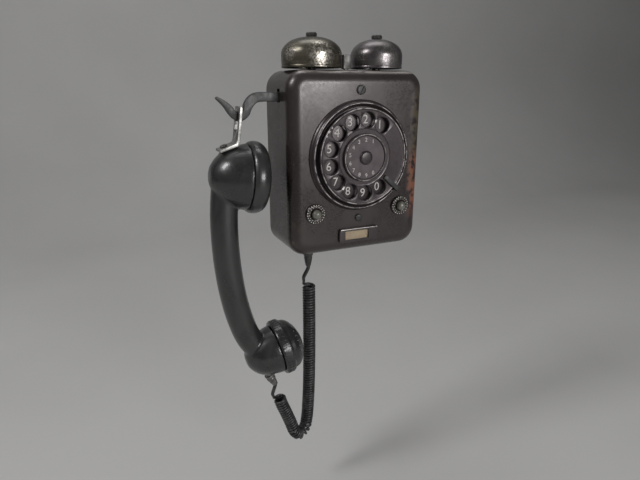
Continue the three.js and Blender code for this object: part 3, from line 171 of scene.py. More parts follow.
def rounded(points: Profile, radius: float, steps: int = 4, closed: bool = False) -> Profile:
    """Round a polyline's corners.

    Args:
        points: the corners.
        radius: how far along each side the rounding starts.
        steps: points in each rounding.
        closed: whether the last point joins the first.

    Returns:
        The finer polyline.
    """
    count = len(points)
    made: Profile = []
    for i, corner in enumerate(points):
        if not closed and i in (0, count - 1):
            made.append(corner)
            continue
        here = Vector(corner)
        before = Vector(points[i - 1]) - here
        after = Vector(points[(i + 1) % count]) - here
        reach = min(radius, before.length * 0.45, after.length * 0.45)
        straight = before.length < 1e-6 or after.length < 1e-6 or abs(before.angle(after) - math.pi) < 0.12
        if straight or reach < 1e-4:
            made.append(corner)
            continue
        start, end = here + before.normalized() * reach, here + after.normalized() * reach
        for step in range(steps + 1):
            t = step / steps
            spot = start * (1 - t) ** 2 + here * 2 * t * (1 - t) + end * t * t
            made.append((spot.x, spot.y))
    return made


@dataclass(frozen=True)
class Axis:
    """An axis that a turned piece is made about, in millimetres."""

    origin: Point
    direction: Point

    def basis(self) -> tuple[Vector, Vector, Vector]:
        """Two sides and the direction, as unit vectors."""
        along = Vector(self.direction).normalized()
        hint = Vector((0, 0, 1)) if abs(along.z) < 0.9 else Vector((1, 0, 0))
        side = along.cross(hint).normalized()
        return side, along.cross(side).normalized(), along

    def at(self, radius: float, height: float, angle: float) -> Point:
        """The point at a radius, a height along the axis and an angle about it."""
        side, other, along = self.basis()
        spot = Vector(self.origin) + along * height + (side * math.cos(angle) + other * math.sin(angle)) * radius
        return tuple(spot)


def turned(name: str, profile: Profile, axis: Axis, segments: int = 96, closed: bool = False) -> Piece:
    """Turn a profile about an axis.

    Args:
        name: the piece's name.
        profile: (radius, height) pairs; an open profile starts and ends on the axis.
        axis: what it turns about.
        segments: steps round the axis.
        closed: whether the profile is a ring that never reaches the axis.

    Returns:
        The closed mesh.
    """
    corners: list[Point] = []
    rows: list[list[int]] = []
    for radius, height in profile:
        if radius < 1e-6:
            rows.append([len(corners)] * segments)
            corners.append(axis.at(0, height, 0))
            continue
        rows.append([len(corners) + i for i in range(segments)])
        corners.extend(axis.at(radius, height, TAU * i / segments) for i in range(segments))
    faces: list[Face] = []
    pairs = list(zip(rows, rows[1:])) + ([(rows[-1], rows[0])] if closed else [])
    for low, high in pairs:
        for i in range(segments):
            j = (i + 1) % segments
            face = []
            for index in (low[i], low[j], high[j], high[i]):
                if index not in face:
                    face.append(index)
            if len(face) > 2:
                faces.append(tuple(face))
    return make_object(name, corners, faces)


def rod(name: str, radius: float, low: float, high: float, axis: Axis, segments: int) -> Piece:
    """Plain round bar about an axis, between two heights."""
    return turned(name, [(0, low), (radius, low), (radius, high), (0, high)], axis, segments)


def prism_faces(count: int) -> list[Face]:
    """Faces of a prism: both ends, then the sides between two outlines of count corners."""
    ends = [tuple(range(count)), tuple(range(2 * count - 1, count - 1, -1))]
    return ends + [(i, (i + 1) % count, count + (i + 1) % count, count + i) for i in range(count)]


def band_faces(rows: int, size: int) -> list[Face]:
    """Faces between neighbouring rings of size corners each."""
    faces: list[Face] = []
    for row in range(rows - 1):
        for i in range(size):
            j = (i + 1) % size
            faces.append((row * size + i, row * size + j, (row + 1) * size + j, (row + 1) * size + i))
    return faces


def slab(name: str, outline: Profile, y_back: float, y_front: float, edge: float = 0) -> Piece:
    """Flat piece with an outline in X and Z, with its rims rounded over by edge."""
    corners = [(x, y, z) for y in (y_back, y_front) for x, z in outline]
    made = make_object(name, corners, prism_faces(len(outline)))
    if edge:
        bevel_rims(made, edge)
    return made


def bevel_rims(piece: Piece, edge: float, angle_deg: float = 50, steps: int = 3) -> None:
    """Round over every edge sharper than the angle."""
    modifier = piece.modifiers.new("rims", "BEVEL")
    modifier.limit_method = "ANGLE"
    modifier.angle_limit = math.radians(angle_deg)
    modifier.width = edge * MM
    modifier.segments = steps
    modifier.use_clamp_overlap = True
    modifier.harden_normals = False
    bake(piece)


def rounded_rect(width: float, height: float, corner: float, x: float = 0, z: float = 0, steps: int = 10) -> Profile:
    """Outline of a rectangle with round corners, with a point just off each end of its straight sides."""
    made: Profile = []
    near = 0.6                                          # keeps the shading of the flat sides flat
    centres = [(1, -1, -90), (1, 1, 0), (-1, 1, 90), (-1, -1, 180)]
    for sx, sz, start in centres:
        cx, cz = x + sx * (width / 2 - corner), z + sz * (height / 2 - corner)
        arc = [
            (cx + corner * math.cos(math.radians(start + 90 * i / steps)),
             cz + corner * math.sin(math.radians(start + 90 * i / steps)))
            for i in range(steps + 1)
        ]
        first, last = math.radians(start), math.radians(start + 90)
        made.append((arc[0][0] + near * math.sin(first), arc[0][1] - near * math.cos(first)))
        made += arc
        made.append((arc[-1][0] - near * math.sin(last), arc[-1][1] + near * math.cos(last)))
    return made


def smooth_line(points: list[Point], spacing: float) -> list[Point]:
    """Centripetal Catmull-Rom curve through points, resampled evenly.

    Args:
        points: what the curve passes through.
        spacing: distance between samples.

    Returns:
        The samples.
    """
    known = [Vector(p) for p in points]
    ends = [known[0] * 2 - known[1], *known, known[-1] * 2 - known[-2]]
    fine: list[Vector] = []
    for a, b, c, d in zip(ends, ends[1:], ends[2:], ends[3:]):
        t0 = 0.0
        t1 = t0 + (b - a).length ** 0.5
        t2 = t1 + (c - b).length ** 0.5
        t3 = t2 + (d - c).length ** 0.5
        for step in range(40):
            t = t1 + (t2 - t1) * step / 40
            ab = a * ((t1 - t) / (t1 - t0)) + b * ((t - t0) / (t1 - t0))
            bc = b * ((t2 - t) / (t2 - t1)) + c * ((t - t1) / (t2 - t1))
            cd = c * ((t3 - t) / (t3 - t2)) + d * ((t - t2) / (t3 - t2))
            abc = ab * ((t2 - t) / (t2 - t0)) + bc * ((t - t0) / (t2 - t0))
            bcd = bc * ((t3 - t) / (t3 - t1)) + cd * ((t - t1) / (t3 - t1))
            fine.append(abc * ((t2 - t) / (t2 - t1)) + bcd * ((t - t1) / (t2 - t1)))
    fine.append(known[-1])
    total = sum((b - a).length for a, b in zip(fine, fine[1:]))
    count = max(2, round(total / spacing))
    made, walked, index = [fine[0]], 0.0, 0
    for step in range(1, count):
        goal = total * step / count
        while walked + (fine[index + 1] - fine[index]).length < goal:
            walked += (fine[index + 1] - fine[index]).length
            index += 1
        leg = fine[index + 1] - fine[index]
        made.append(fine[index] + leg * ((goal - walked) / leg.length))
    made.append(fine[-1])
    return [tuple(p) for p in made]


def smooth_profile(points: Profile, spacing: float) -> Profile:
    """Smooth curve through the points of a flat outline."""
    return [(p[0], p[1]) for p in smooth_line([(a, b, 0) for a, b in points], spacing)]


def carried_frames(line: list[Point]) -> list[tuple[Vector, Vector, Vector]]:
    """Tangent and two sides at each point of a line, turned as little as possible along it."""
    known = [Vector(p) for p in line]
    tangents = []
    for i in range(len(known)):
        step = known[min(i + 1, len(known) - 1)] - known[max(i - 1, 0)]
        tangents.append(step.normalized())
    side = tangents[0].orthogonal().normalized()
    made = []
    for tangent in tangents:
        side = (side - tangent * side.dot(tangent)).normalized()
        made.append((tangent, side, tangent.cross(side)))
    return made


def tube(name: str, line: list[Point], radii: list[float], sides: int) -> Piece:
    """Round bar along a line, closed at both ends."""
    corners: list[Point] = []
    for spot, radius, (_, side, other) in zip(line, radii, carried_frames(line)):
        for i in range(sides):
            angle = TAU * i / sides
            corners.append(tuple(Vector(spot) + (side * math.cos(angle) + other * math.sin(angle)) * radius))
    faces = band_faces(len(line), sides)
    last = (len(line) - 1) * sides
    faces.append(tuple(range(sides)))
    faces.append(tuple(last + i for i in range(sides)))
    return make_object(name, corners, faces)


# ---------------------------------------------------------------------------------------------- geometry nodes
@dataclass
class RingTree:
    """Geometry Nodes tree that sets copies of its mesh round a ring about Z, then realises them."""

    name: str = "copies_in_a_ring"
    sockets: dict[str, str] = field(default_factory=dict)

    def build(self) -> bpy.types.GeometryNodeTree:
        """Build the tree and note its inputs' identifiers."""
        tree = bpy.data.node_groups.new(self.name, "GeometryNodeTree")
        face = tree.interface
        face.new_socket("Geometry", in_out="INPUT", socket_type="NodeSocketGeometry")
        for label, kind in (
            ("Copies", "NodeSocketInt"),
            ("Ring radius", "NodeSocketFloat"),
            ("First angle", "NodeSocketFloat"),
            ("Size variation", "NodeSocketFloat"),
            ("Seed", "NodeSocketInt"),
            ("Finish", "NodeSocketMaterial"),
        ):
            self.sockets[label] = face.new_socket(label, in_out="INPUT", socket_type=kind).identifier
        face.new_socket("Geometry", in_out="OUTPUT", socket_type="NodeSocketGeometry")
        nodes, links = tree.nodes, tree.links
        source = nodes.new("NodeGroupInput")
        ring = nodes.new("GeometryNodeMeshCircle")
        turn = nodes.new("GeometryNodeTransform")
        spin = nodes.new("ShaderNodeCombineXYZ")
        copies = nodes.new("GeometryNodeInstanceOnPoints")
        index = nodes.new("GeometryNodeInputIndex")
        share = nodes.new("ShaderNodeMath")
        angle = nodes.new("ShaderNodeMath")
        facing = nodes.new("ShaderNodeCombineXYZ")
        vary = nodes.new("FunctionNodeRandomValue")
        small = nodes.new("ShaderNodeMath")
        real = nodes.new("GeometryNodeRealizeInstances")
        finish = nodes.new("GeometryNodeSetMaterial")
        result = nodes.new("NodeGroupOutput")
        share.operation, angle.operation, small.operation = "DIVIDE", "MULTIPLY", "SUBTRACT"
        angle.inputs[1].default_value = TAU
        small.inputs[0].default_value = 1.0
        vary.inputs[3].default_value = 1.0
        for start, end in (
            (source.outputs["Copies"], ring.inputs["Vertices"]),
            (source.outputs["Ring radius"], ring.inputs["Radius"]),
            (source.outputs["First angle"], spin.inputs["Z"]),
            (index.outputs[0], share.inputs[0]),
            (source.outputs["Copies"], share.inputs[1]),
            (share.outputs[0], angle.inputs[0]),
            (angle.outputs[0], facing.inputs["Z"]),
            (source.outputs["Size variation"], small.inputs[1]),
            (small.outputs[0], vary.inputs[2]),
            (source.outputs["Seed"], vary.inputs["Seed"]),
            (ring.outputs[0], copies.inputs["Points"]),
            (source.outputs["Geometry"], copies.inputs["Instance"]),
            (facing.outputs[0], copies.inputs["Rotation"]),
            (vary.outputs[1], copies.inputs["Scale"]),
            (copies.outputs[0], turn.inputs["Geometry"]),
            (spin.outputs[0], turn.inputs["Rotation"]),
            (turn.outputs[0], real.inputs[0]),
            (real.outputs[0], finish.inputs["Geometry"]),
            (source.outputs["Finish"], finish.inputs["Material"]),
            (finish.outputs[0], result.inputs[0]),
        ):
            links.new(start, end)
        return tree


@dataclass
class RingOfCopies:
    """A ring of copies of a small mesh about an axis: pips, ribs, sound holes."""

    tree: bpy.types.GeometryNodeTree
    sockets: dict[str, str]

    def make(self, seed_piece: Piece, copies: int, ring: float, axis: Axis,
             finish: Finish, first: float = 0, variation: float = 0, seed: int = 3) -> Piece:
        """Repeat a mesh round a ring and set it in place.

        Args:
            seed_piece: one copy, built about the origin with its own axis along Z and +X outwards.
            copies: how many.
            ring: the ring's radius in millimetres.
            axis: the ring's axis and middle.
            finish: the copies' material.
            first: angle of the first copy, in radians.
            variation: how much smaller a copy may be.
            seed: seed of that variation.

        Returns:
            One plain mesh, at the origin.
        """
        modifier = seed_piece.modifiers.new("ring", "NODES")
        modifier.node_group = self.tree
        modifier[self.sockets["Copies"]] = copies
        modifier[self.sockets["Ring radius"]] = ring * MM
        modifier[self.sockets["First angle"]] = first
        modifier[self.sockets["Size variation"]] = variation
        modifier[self.sockets["Seed"]] = seed
        modifier[self.sockets["Finish"]] = finish
        bake(seed_piece)
        side, other, along = axis.basis()
        place = Matrix((side, other, along)).transposed().to_4x4()
        place.translation = Vector(axis.origin) * MM
        seed_piece.data.transform(place)
        tidy_normals(seed_piece)
        return seed_piece


# ---------------------------------------------------------------------------------------------- finishes
Colour = tuple[float, float, float]
Stops = list[tuple[float, Colour]]


class Recipe:
    """Short-hand for building one material's nodes round a Principled shader."""

    def __init__(self, name: str) -> None:
        """Start a material with an empty tree, its shader and its Object coordinates."""
        self.material = bpy.data.materials.new(name)
        self.material.use_nodes = True
        self.tree = self.material.node_tree
        self.tree.nodes.clear()
        self.shader = self.add("ShaderNodeBsdfPrincipled")
        output = self.add("ShaderNodeOutputMaterial")
        self.tree.links.new(self.shader.outputs[0], output.inputs[0])
        self.place = self.add("ShaderNodeTexCoord").outputs["Object"]

    def add(self, kind: str) -> bpy.types.Node:
        """Add a node."""
        return self.tree.nodes.new(kind)

    def link(self, source: Socket, target: Socket) -> None:
        """Link two sockets."""
        self.tree.links.new(source, target)

    def mapped(self, scale: Point = (1, 1, 1), shift: Point = (0, 0, 0), turn: Point = (0, 0, 0)) -> Socket:
        """Object coordinates, shifted (in mm), turned and scaled."""
        node = self.add("ShaderNodeMapping")
        node.vector_type = "POINT"
        node.inputs["Location"].default_value = [v * MM * s for v, s in zip(shift, scale)]
        node.inputs["Rotation"].default_value = turn
        node.inputs["Scale"].default_value = scale
        self.link(self.place, node.inputs["Vector"])
        return node.outputs[0]

    def noise(self, size_mm: float, detail: float = 4, rough: float = 0.55,
              vector: Socket | None = None, distortion: float = 0) -> Socket:
        """Noise whose blotches are about size_mm across, from 0 to 1."""
        node = self.add("ShaderNodeTexNoise")
        node.inputs["Scale"].default_value = 1 / (size_mm * MM)
        node.inputs["Detail"].default_value = detail
        node.inputs["Roughness"].default_value = rough
        node.inputs["Distortion"].default_value = distortion
        self.link(vector or self.place, node.inputs["Vector"])
        return node.outputs["Fac"]

    def cells(self, size_mm: float) -> Socket:
        """Distance to the nearest of scattered spots about size_mm apart."""
        node = self.add("ShaderNodeTexVoronoi")
        node.inputs["Scale"].default_value = 1 / (size_mm * MM)
        self.link(self.place, node.inputs["Vector"])
        return node.outputs["Distance"]

    def span(self, value: Socket, low: float, high: float, out_low: float = 0,
             out_high: float = 1) -> Socket:
        """Value eased from the range low..high to out_low..out_high, and held there."""
        node = self.add("ShaderNodeMapRange")
        node.interpolation_type = "SMOOTHSTEP"
        for socket, number in zip(node.inputs[1:5], (low, high, out_low, out_high)):
            socket.default_value = number
        self.link(value, node.inputs[0])
        return node.outputs[0]

    def maths(self, operation: str, first: Socket,
              second: Socket | float = 0.0) -> Socket:
        """One step of arithmetic."""
        node = self.add("ShaderNodeMath")
        node.operation = operation
        self.link(first, node.inputs[0])
        if isinstance(second, (int, float)):
            node.inputs[1].default_value = second
        else:
            self.link(second, node.inputs[1])
        return node.outputs[0]

    def both(self, *masks: Socket) -> Socket:
        """Masks multiplied together."""
        made = masks[0]
        for mask in masks[1:]:
            made = self.maths("MULTIPLY", made, mask)
        return made

    def ramp(self, value: Socket, stops: Stops) -> Socket:
        """Colour ramp."""
        node = self.add("ShaderNodeValToRGB")
        bar = node.color_ramp
        while len(bar.elements) < len(stops):
            bar.elements.new(0.5)
        for element, (spot, colour) in zip(bar.elements, stops):
            element.position = spot
            element.color = (*colour, 1)
        self.link(value, node.inputs[0])
        return node.outputs[0]

    def mix(self, amount: Socket, under: Socket | Colour,
            over: Socket | Colour) -> Socket:
        """Colour over laid on colour under by the amount."""
        node = self.add("ShaderNodeMix")
        node.data_type = "RGBA"
        self.link(amount, node.inputs[0])
        for socket, colour in ((node.inputs[6], under), (node.inputs[7], over)):
            if isinstance(colour, tuple):
                socket.default_value = (*colour, 1)
            else:
                self.link(colour, socket)
        return node.outputs[2]

    def axis_parts(self) -> tuple[Socket, Socket, Socket]:
        """X, Y and Z in metres."""
        node = self.add("ShaderNodeSeparateXYZ")
        self.link(self.place, node.inputs[0])
        return node.outputs[0], node.outputs[1], node.outputs[2]

    def radius(self, centre: Point, keep: Point) -> Socket:
        """Distance in millimetres from a centre, counting only the kept axes."""
        node = self.add("ShaderNodeVectorMath")
        node.operation = "LENGTH"
        scale = tuple(k / MM for k in keep)
        self.link(self.mapped(scale, tuple(-c for c in centre)), node.inputs[0])
        return node.outputs["Value"]

    def bumps(self, *heights: tuple[Socket, float]) -> None:
        """Surface relief: pairs of height and depth in millimetres."""
        last = None
        for height, depth in heights:
            node = self.add("ShaderNodeBump")
            node.inputs["Strength"].default_value = 1
            node.inputs["Distance"].default_value = depth * MM
            self.link(height, node.inputs["Height"])
            if last:
                self.link(last, node.inputs["Normal"])
            last = node.outputs[0]
        self.link(last, self.shader.inputs["Normal"])

    def finish(self, colour: Socket, rough: Socket,
               **constants: float | tuple[float, ...]) -> Finish:
        """Link colour and roughness, and set the shader's constant sockets."""
        self.link(colour, self.shader.inputs["Base Color"])
        self.link(rough, self.shader.inputs["Roughness"])
        for name, value in constants.items():
            self.shader.inputs[name.replace("_", " ")].default_value = value
        return self.material


@dataclass(frozen=True)
class CaseEnamel:
    """Dark stoved enamel on steel: chipped, rusty at the right front edge, with a painted highlight high on the front
    towards the left and a painted highlight on worn bare metal along the top front edge.
    """

    base: Colour = (0.0195, 0.0145, 0.0135)
    # colour of the painted highlight high on the front
    painted_highlight: Colour = (0.038, 0.0315, 0.0315)
    rust: Colour = (0.24, 0.078, 0.034)
    olive: Colour = (0.07, 0.056, 0.028)
    bare: Colour = (0.36, 0.33, 0.31)

    def build(self) -> Finish:
        """Build the enamel."""
        r = Recipe("stoved_enamel")
        x, y, z = r.axis_parts()
        cloud = r.noise(34, 5, 0.6)
        fine = r.noise(2.2, 6, 0.65)
        speck = r.noise(0.8, 3, 0.5)
        colour = r.mix(r.span(cloud, 0.35, 0.7), self.base, tuple(c * 1.3 for c in self.base))
        # Painted highlight: the front face lighter towards the top and the left, where the key light's reflection
        # falls.
        front = r.span(y, -0.0505, -0.0535)
        fade = r.both(front, r.span(z, -0.02, 0.075), r.span(x, 0.06, -0.03, 0.35, 1))
        colour = r.mix(r.maths("MULTIPLY", fade, 0.85), colour, self.painted_highlight)
        scuff = r.noise(3, 5, 0.6, r.mapped((1, 1, 0.18), turn=(0, 0.5, 0)))
        colour = r.mix(r.span(scuff, 0.66, 0.74, 0, 0.35), colour, (0.1, 0.093, 0.09))
        right = r.both(r.span(x, 0.0455, 0.0525), r.span(z, 0.066, 0.05), r.span(z, -0.052, -0.036),
                       r.span(y, -0.034, -0.044), r.span(r.noise(9, 6, 0.65), 0.43, 0.55))
        colour = r.mix(r.maths("MULTIPLY", right, 0.9), colour, r.mix(r.span(z, -0.004, 0.016), self.rust, self.olive))
        left = r.both(r.span(x, -0.05, -0.0585), r.span(z, -0.03, -0.06), r.span(r.noise(9, 6, 0.6), 0.5, 0.62))
        colour = r.mix(r.maths("MULTIPLY", left, 0.8), colour, self.olive)
        # Painted highlight along the top front edge, drawn as paint worn through to bare metal there.
        top_edge_highlight_and_wear = r.both(r.span(z, 0.0712, 0.0724), r.span(y, -0.0478, -0.049), r.span(y, -0.0535, -0.0518),
                          r.span(r.noise(5, 5, 0.7, r.mapped((0.25, 1, 1))), 0.38, 0.5))
        colour = r.mix(r.maths("MULTIPLY", top_edge_highlight_and_wear, 0.75), colour, self.bare)
        chips = r.both(r.span(r.noise(1.6, 3, 0.6), 0.76, 0.79), r.span(cloud, 0.52, 0.64))
        colour = r.mix(r.maths("MULTIPLY", chips, 0.5), colour, self.bare)
        rough = r.maths("ADD", r.span(fine, 0.3, 0.7, 0.24, 0.34), r.span(cloud, 0.4, 0.7, 0.0, 0.1))
        rough = r.maths("ADD", rough, r.maths("MULTIPLY", right, 0.35))
        r.bumps((r.noise(4.5, 3, 0.5), 0.035), (speck, 0.006), (right, 0.06))
        return r.finish(colour, rough, Metallic=0.0, IOR=1.62, Coat_Weight=0.2, Coat_Roughness=0.16,
                        Specular_Tint=(1, 0.92, 0.915, 1))


@dataclass(frozen=True)
class BellMetal:
    """Darkened bell metal with turning marks, patina and rubbed, scratched spots placed where the highlights fall, so
    the spots are partly wear and partly painted highlight.
    """

    name: str
    dark: Colour
    light: Colour
    bright: Colour
    centre_x: float
    # strength of the rubbed spots and the painted highlight they carry
    rub_and_highlight_strength: float

    def build(self) -> Finish:
        """Build the bell metal."""
        r = Recipe(self.name)
        patina = r.noise(16, 6, 0.62, distortion=0.6)
        colour = r.mix(r.span(patina, 0.35, 0.68), self.dark, self.light)
        rings = r.noise(0.9, 2, 0.5, r.mapped((0.04, 0.04, 1.4)))
        colour = r.mix(r.span(rings, 0.5, 0.7, 0, 0.06), colour, self.bright)
        # Scratched, rubbed spots right of the middle and at the left edge, where the bell's highlights fall: partly
        # wear, partly painted highlight.
        highlight_patch = r.span(r.radius((self.centre_x - 1, -48, 86), (1, 1, 1)), 14, 3)
        rub_and_highlight = r.both(highlight_patch, r.span(r.noise(1.5, 5, 0.75), 0.48, 0.56))
        side = r.span(r.radius((self.centre_x - 22, -34, 87), (1, 1, 1)), 8, 2)
        rub_and_highlight = r.maths("MAXIMUM", rub_and_highlight, r.both(side, r.span(r.noise(1.2, 4, 0.7), 0.47, 0.6)))
        rub_and_highlight = r.maths("MULTIPLY", rub_and_highlight, self.rub_and_highlight_strength)
        colour = r.mix(rub_and_highlight, colour, self.bright)
        pits = r.both(r.span(r.cells(2.6), 0.12, 0.06), r.span(patina, 0.45, 0.6))
        colour = r.mix(r.maths("MULTIPLY", pits, 0.6), colour, (0.02, 0.018, 0.015))
        rough = r.maths("SUBTRACT", r.span(patina, 0.3, 0.75, 0.25, 0.4), r.maths("MULTIPLY", rub_and_highlight, 0.12))
        r.bumps((rings, 0.004), (r.noise(1.1, 4, 0.6), 0.012), (pits, 0.05))
        return r.finish(colour, rough, Metallic=0.7, IOR=1.8)


@dataclass(frozen=True)
class DialEnamel:
    """Dark brownish enamel on the dial's turned parts, rubbed to metal on their raised edges, which also paints the
    highlight arcs on those crests, with bright chipped spots on the wheel that paint its glints.
    """

    name: str = "dial_enamel"
    base: Colour = (0.027, 0.0205, 0.022)
    bare: Colour = (0.5, 0.47, 0.46)
    # centre x, centre z and size of bright chipped spots set where the wheel shows glints: painted glints
    chips: tuple[tuple[float, float, float], ...] = (
        (10.2, 35.1, 1.2), (-18.2, -17.0, 1.4), (-28.9, 31.2, 0.7), (-31.3, 28.1, 0.9), (-33.3, 24.7, 0.8))
    centre_z: float = DIAL_Z
    # radius and half width of each raised edge rubbed to metal; the bare crests also paint their highlight arcs
    edges: tuple[tuple[float, float], ...] = ((42.3, 0.5), (38.3, 0.55), (18.5, 0.45))

    def build(self) -> Finish:
        """Build the dial enamel."""
        r = Recipe(self.name)
        reach = r.radius((0, 0, self.centre_z), (1, 0, 1))
        _, y, _ = r.axis_parts()
        cloud = r.noise(12, 5, 0.6)
        fine = r.noise(1.4, 5, 0.6)
        colour = r.mix(r.span(cloud, 0.35, 0.7), self.base, tuple(c * 1.45 for c in self.base))
        broken = r.span(r.noise(7, 5, 0.7), 0.42, 0.56)
        # Crests rubbed to bare metal: partly wear, partly painted highlight arcs.
        for radius, half in self.edges:
            away = r.maths("ABSOLUTE", r.maths("SUBTRACT", reach, radius))
            rub_and_highlight = r.both(r.span(away, half, half * 0.35), r.span(y, -0.0587, -0.0593), broken)
            colour = r.mix(r.maths("MULTIPLY", rub_and_highlight, 0.85), colour, self.bare)
        flake = r.noise(1.2, 3, 0.6)
        # Painted glints, drawn as paint chipped to bright metal.
        for cx, cz, size in self.chips:
            ragged = r.maths("ADD", r.radius((cx, 0, cz), (1, 0, 1)), r.maths("MULTIPLY", flake, 2.0))
            near = r.span(ragged, size + 1.3, size + 0.7)
            colour = r.mix(r.both(near, r.span(y, -0.0615, -0.062)), colour, (0.75, 0.72, 0.7))
        scratch = r.span(r.noise(2.5, 4, 0.65, r.mapped((1, 1, 0.12), turn=(0, 0.9, 0))), 0.68, 0.75, 0, 0.4)
        colour = r.mix(scratch, colour, (0.2, 0.19, 0.185))
        rough = r.span(fine, 0.3, 0.7, 0.28, 0.44)
        r.bumps((fine, 0.01), (r.noise(5, 3), 0.03))
        return r.finish(colour, rough, Metallic=0.1, IOR=1.6, Coat_Weight=0.15, Coat_Roughness=0.2,
                        Specular_Tint=(1, 0.9, 0.92, 1))


@dataclass(frozen=True)
class Bakelite:
    """Dark moulded bakelite: faint mottling, polished where it is handled, hairline scratches."""

    name: str = "dark_bakelite"
    base: Colour = (0.019, 0.0188, 0.0188)
    pale: Colour = (0.031, 0.0305, 0.03)

    def build(self) -> Finish:
        """Build the bakelite."""
        r = Recipe(self.name)
        swirl = r.noise(20, 6, 0.6, r.mapped((1, 1, 0.5)), distortion=1.2)
        fine = r.noise(1.6, 5, 0.6)
        colour = r.mix(r.span(swirl, 0.35, 0.7), self.base, self.pale)
        hair = r.noise(1.1, 3, 0.6, r.mapped((1, 1, 0.07), turn=(0.25, 0.4, 0)))
        colour = r.mix(r.span(hair, 0.68, 0.76, 0, 0.35), colour, (0.09, 0.088, 0.086))
        rough = r.maths("ADD", r.span(swirl, 0.3, 0.7, 0.24, 0.36), r.span(fine, 0.45, 0.7, 0, 0.1))
        r.bumps((r.noise(9, 3), 0.05), (fine, 0.008))
        return r.finish(colour, rough, IOR=1.58, Coat_Weight=0.3, Coat_Roughness=0.12)


@dataclass(frozen=True)
class Metal:
    """Plain metal with a grain, stains and rubbed spots."""

    name: str
    dark: Colour
    light: Colour
    rough: tuple[float, float]
    grain: Point = (1, 1, 0.1)
    grain_mm: float = 0.6
    metallic: float = 0.92
    stain_mm: float = 7

    def build(self) -> Finish:
        """Build the metal."""
        r = Recipe(self.name)
        stain = r.noise(self.stain_mm, 6, 0.65)
        grain = r.noise(self.grain_mm, 3, 0.5, r.mapped(self.grain))
        colour = r.mix(r.span(stain, 0.32, 0.68), self.light, self.dark)
        colour = r.mix(r.span(grain, 0.5, 0.75, 0, 0.35), colour, self.light)
        low, high = self.rough
        rough = r.maths("ADD", r.span(stain, 0.3, 0.7, low, high), r.span(grain, 0.4, 0.7, 0, 0.08))
        r.bumps((grain, 0.015), (stain, 0.02))
        return r.finish(colour, rough, Metallic=self.metallic)


@dataclass(frozen=True)
class Winding:
    """Enamelled wire wound in fine turns along one axis."""

    name: str = "copper_winding"
    along: Point = (0, 0, 1)
    wire_mm: float = 0.5

    def build(self) -> Finish:
        """Build the winding."""
        r = Recipe(self.name)
        node = r.add("ShaderNodeTexWave")
        node.wave_type = "BANDS"
        node.bands_direction = "Z" if self.along[2] else "X"
        node.inputs["Scale"].default_value = 1 / (self.wire_mm * MM) / 3.14
        node.inputs["Distortion"].default_value = 0.4
        r.link(r.place, node.inputs["Vector"])
        turns = node.outputs["Fac"]
        colour = r.mix(turns, (0.12, 0.045, 0.02), (0.42, 0.19, 0.09))
        rough = r.span(r.noise(3, 4), 0.3, 0.7, 0.3, 0.45)
        r.bumps((turns, 0.12))
        return r.finish(colour, rough, Metallic=0.6)


@dataclass(frozen=True)
class Paper:
    """Aged card: blotches and fibres."""

    name: str
    base: Colour
    stain: Colour
    fibre_mm: float = 0.5
    blotch_mm: float = 6

    def build(self) -> Finish:
        """Build the card."""
        r = Recipe(self.name)
        blotch = r.noise(self.blotch_mm, 5, 0.6)
        fibre = r.noise(self.fibre_mm, 4, 0.7, r.mapped((0.4, 1, 1)))
        colour = r.mix(r.span(blotch, 0.38, 0.66), self.base, self.stain)
        colour = r.mix(r.span(fibre, 0.5, 0.8, 0, 0.3), colour, tuple(c * 0.6 for c in self.base))
        rough = r.span(fibre, 0.3, 0.7, 0.55, 0.8)
        r.bumps((fibre, 0.02))
        return r.finish(colour, rough, IOR=1.45)


@dataclass(frozen=True)
class Rubber:
    """Black cord covering: matt, dusty, with a fine woven relief."""

    name: str = "black_cord"
    base: Colour = (0.028, 0.0275, 0.0275)
    dust: Colour = (0.1, 0.097, 0.095)

    def build(self) -> Finish:
        """Build the covering."""
        r = Recipe(self.name)
        dust = r.noise(6, 6, 0.65)
        weave = r.noise(0.45, 2, 0.5)
        colour = r.mix(r.span(dust, 0.42, 0.75), self.base, self.dust)
        colour = r.mix(r.span(weave, 0.6, 0.8, 0, 0.4), colour, (0.11, 0.105, 0.1))
        rough = r.span(dust, 0.3, 0.7, 0.26, 0.46)
        r.bumps((weave, 0.02))
        return r.finish(colour, rough, IOR=1.5)


@dataclass(frozen=True)
class Ink:
    """Off-white paint of the digits, thin in places."""

    name: str = "digit_paint"
    base: Colour = (0.68, 0.65, 0.62)

    def build(self) -> Finish:
        """Build the paint."""
        r = Recipe(self.name)
        thin = r.noise(1.1, 4, 0.7)
        colour = r.mix(r.span(thin, 0.5, 0.72), self.base, tuple(c * 0.45 for c in self.base))
        rough = r.span(thin, 0.3, 0.7, 0.4, 0.6)
        r.bumps((thin, 0.01))
        return r.finish(colour, rough, IOR=1.5)


@dataclass(frozen=True)
class ClearSheet:
    """Thin clear window with faint scratches."""

    name: str = "clear_sheet"

    def build(self) -> Finish:
        """Build the clear sheet."""
        r = Recipe(self.name)
        hair = r.noise(1.4, 3, 0.6, r.mapped((0.1, 1, 1)))
        colour = r.mix(r.span(hair, 0.6, 0.8, 0, 0.5), (0.95, 0.92, 0.86), (0.8, 0.77, 0.7))
        rough = r.span(hair, 0.5, 0.8, 0.06, 0.25)
        return r.finish(colour, rough, IOR=1.45, Transmission_Weight=0.95)


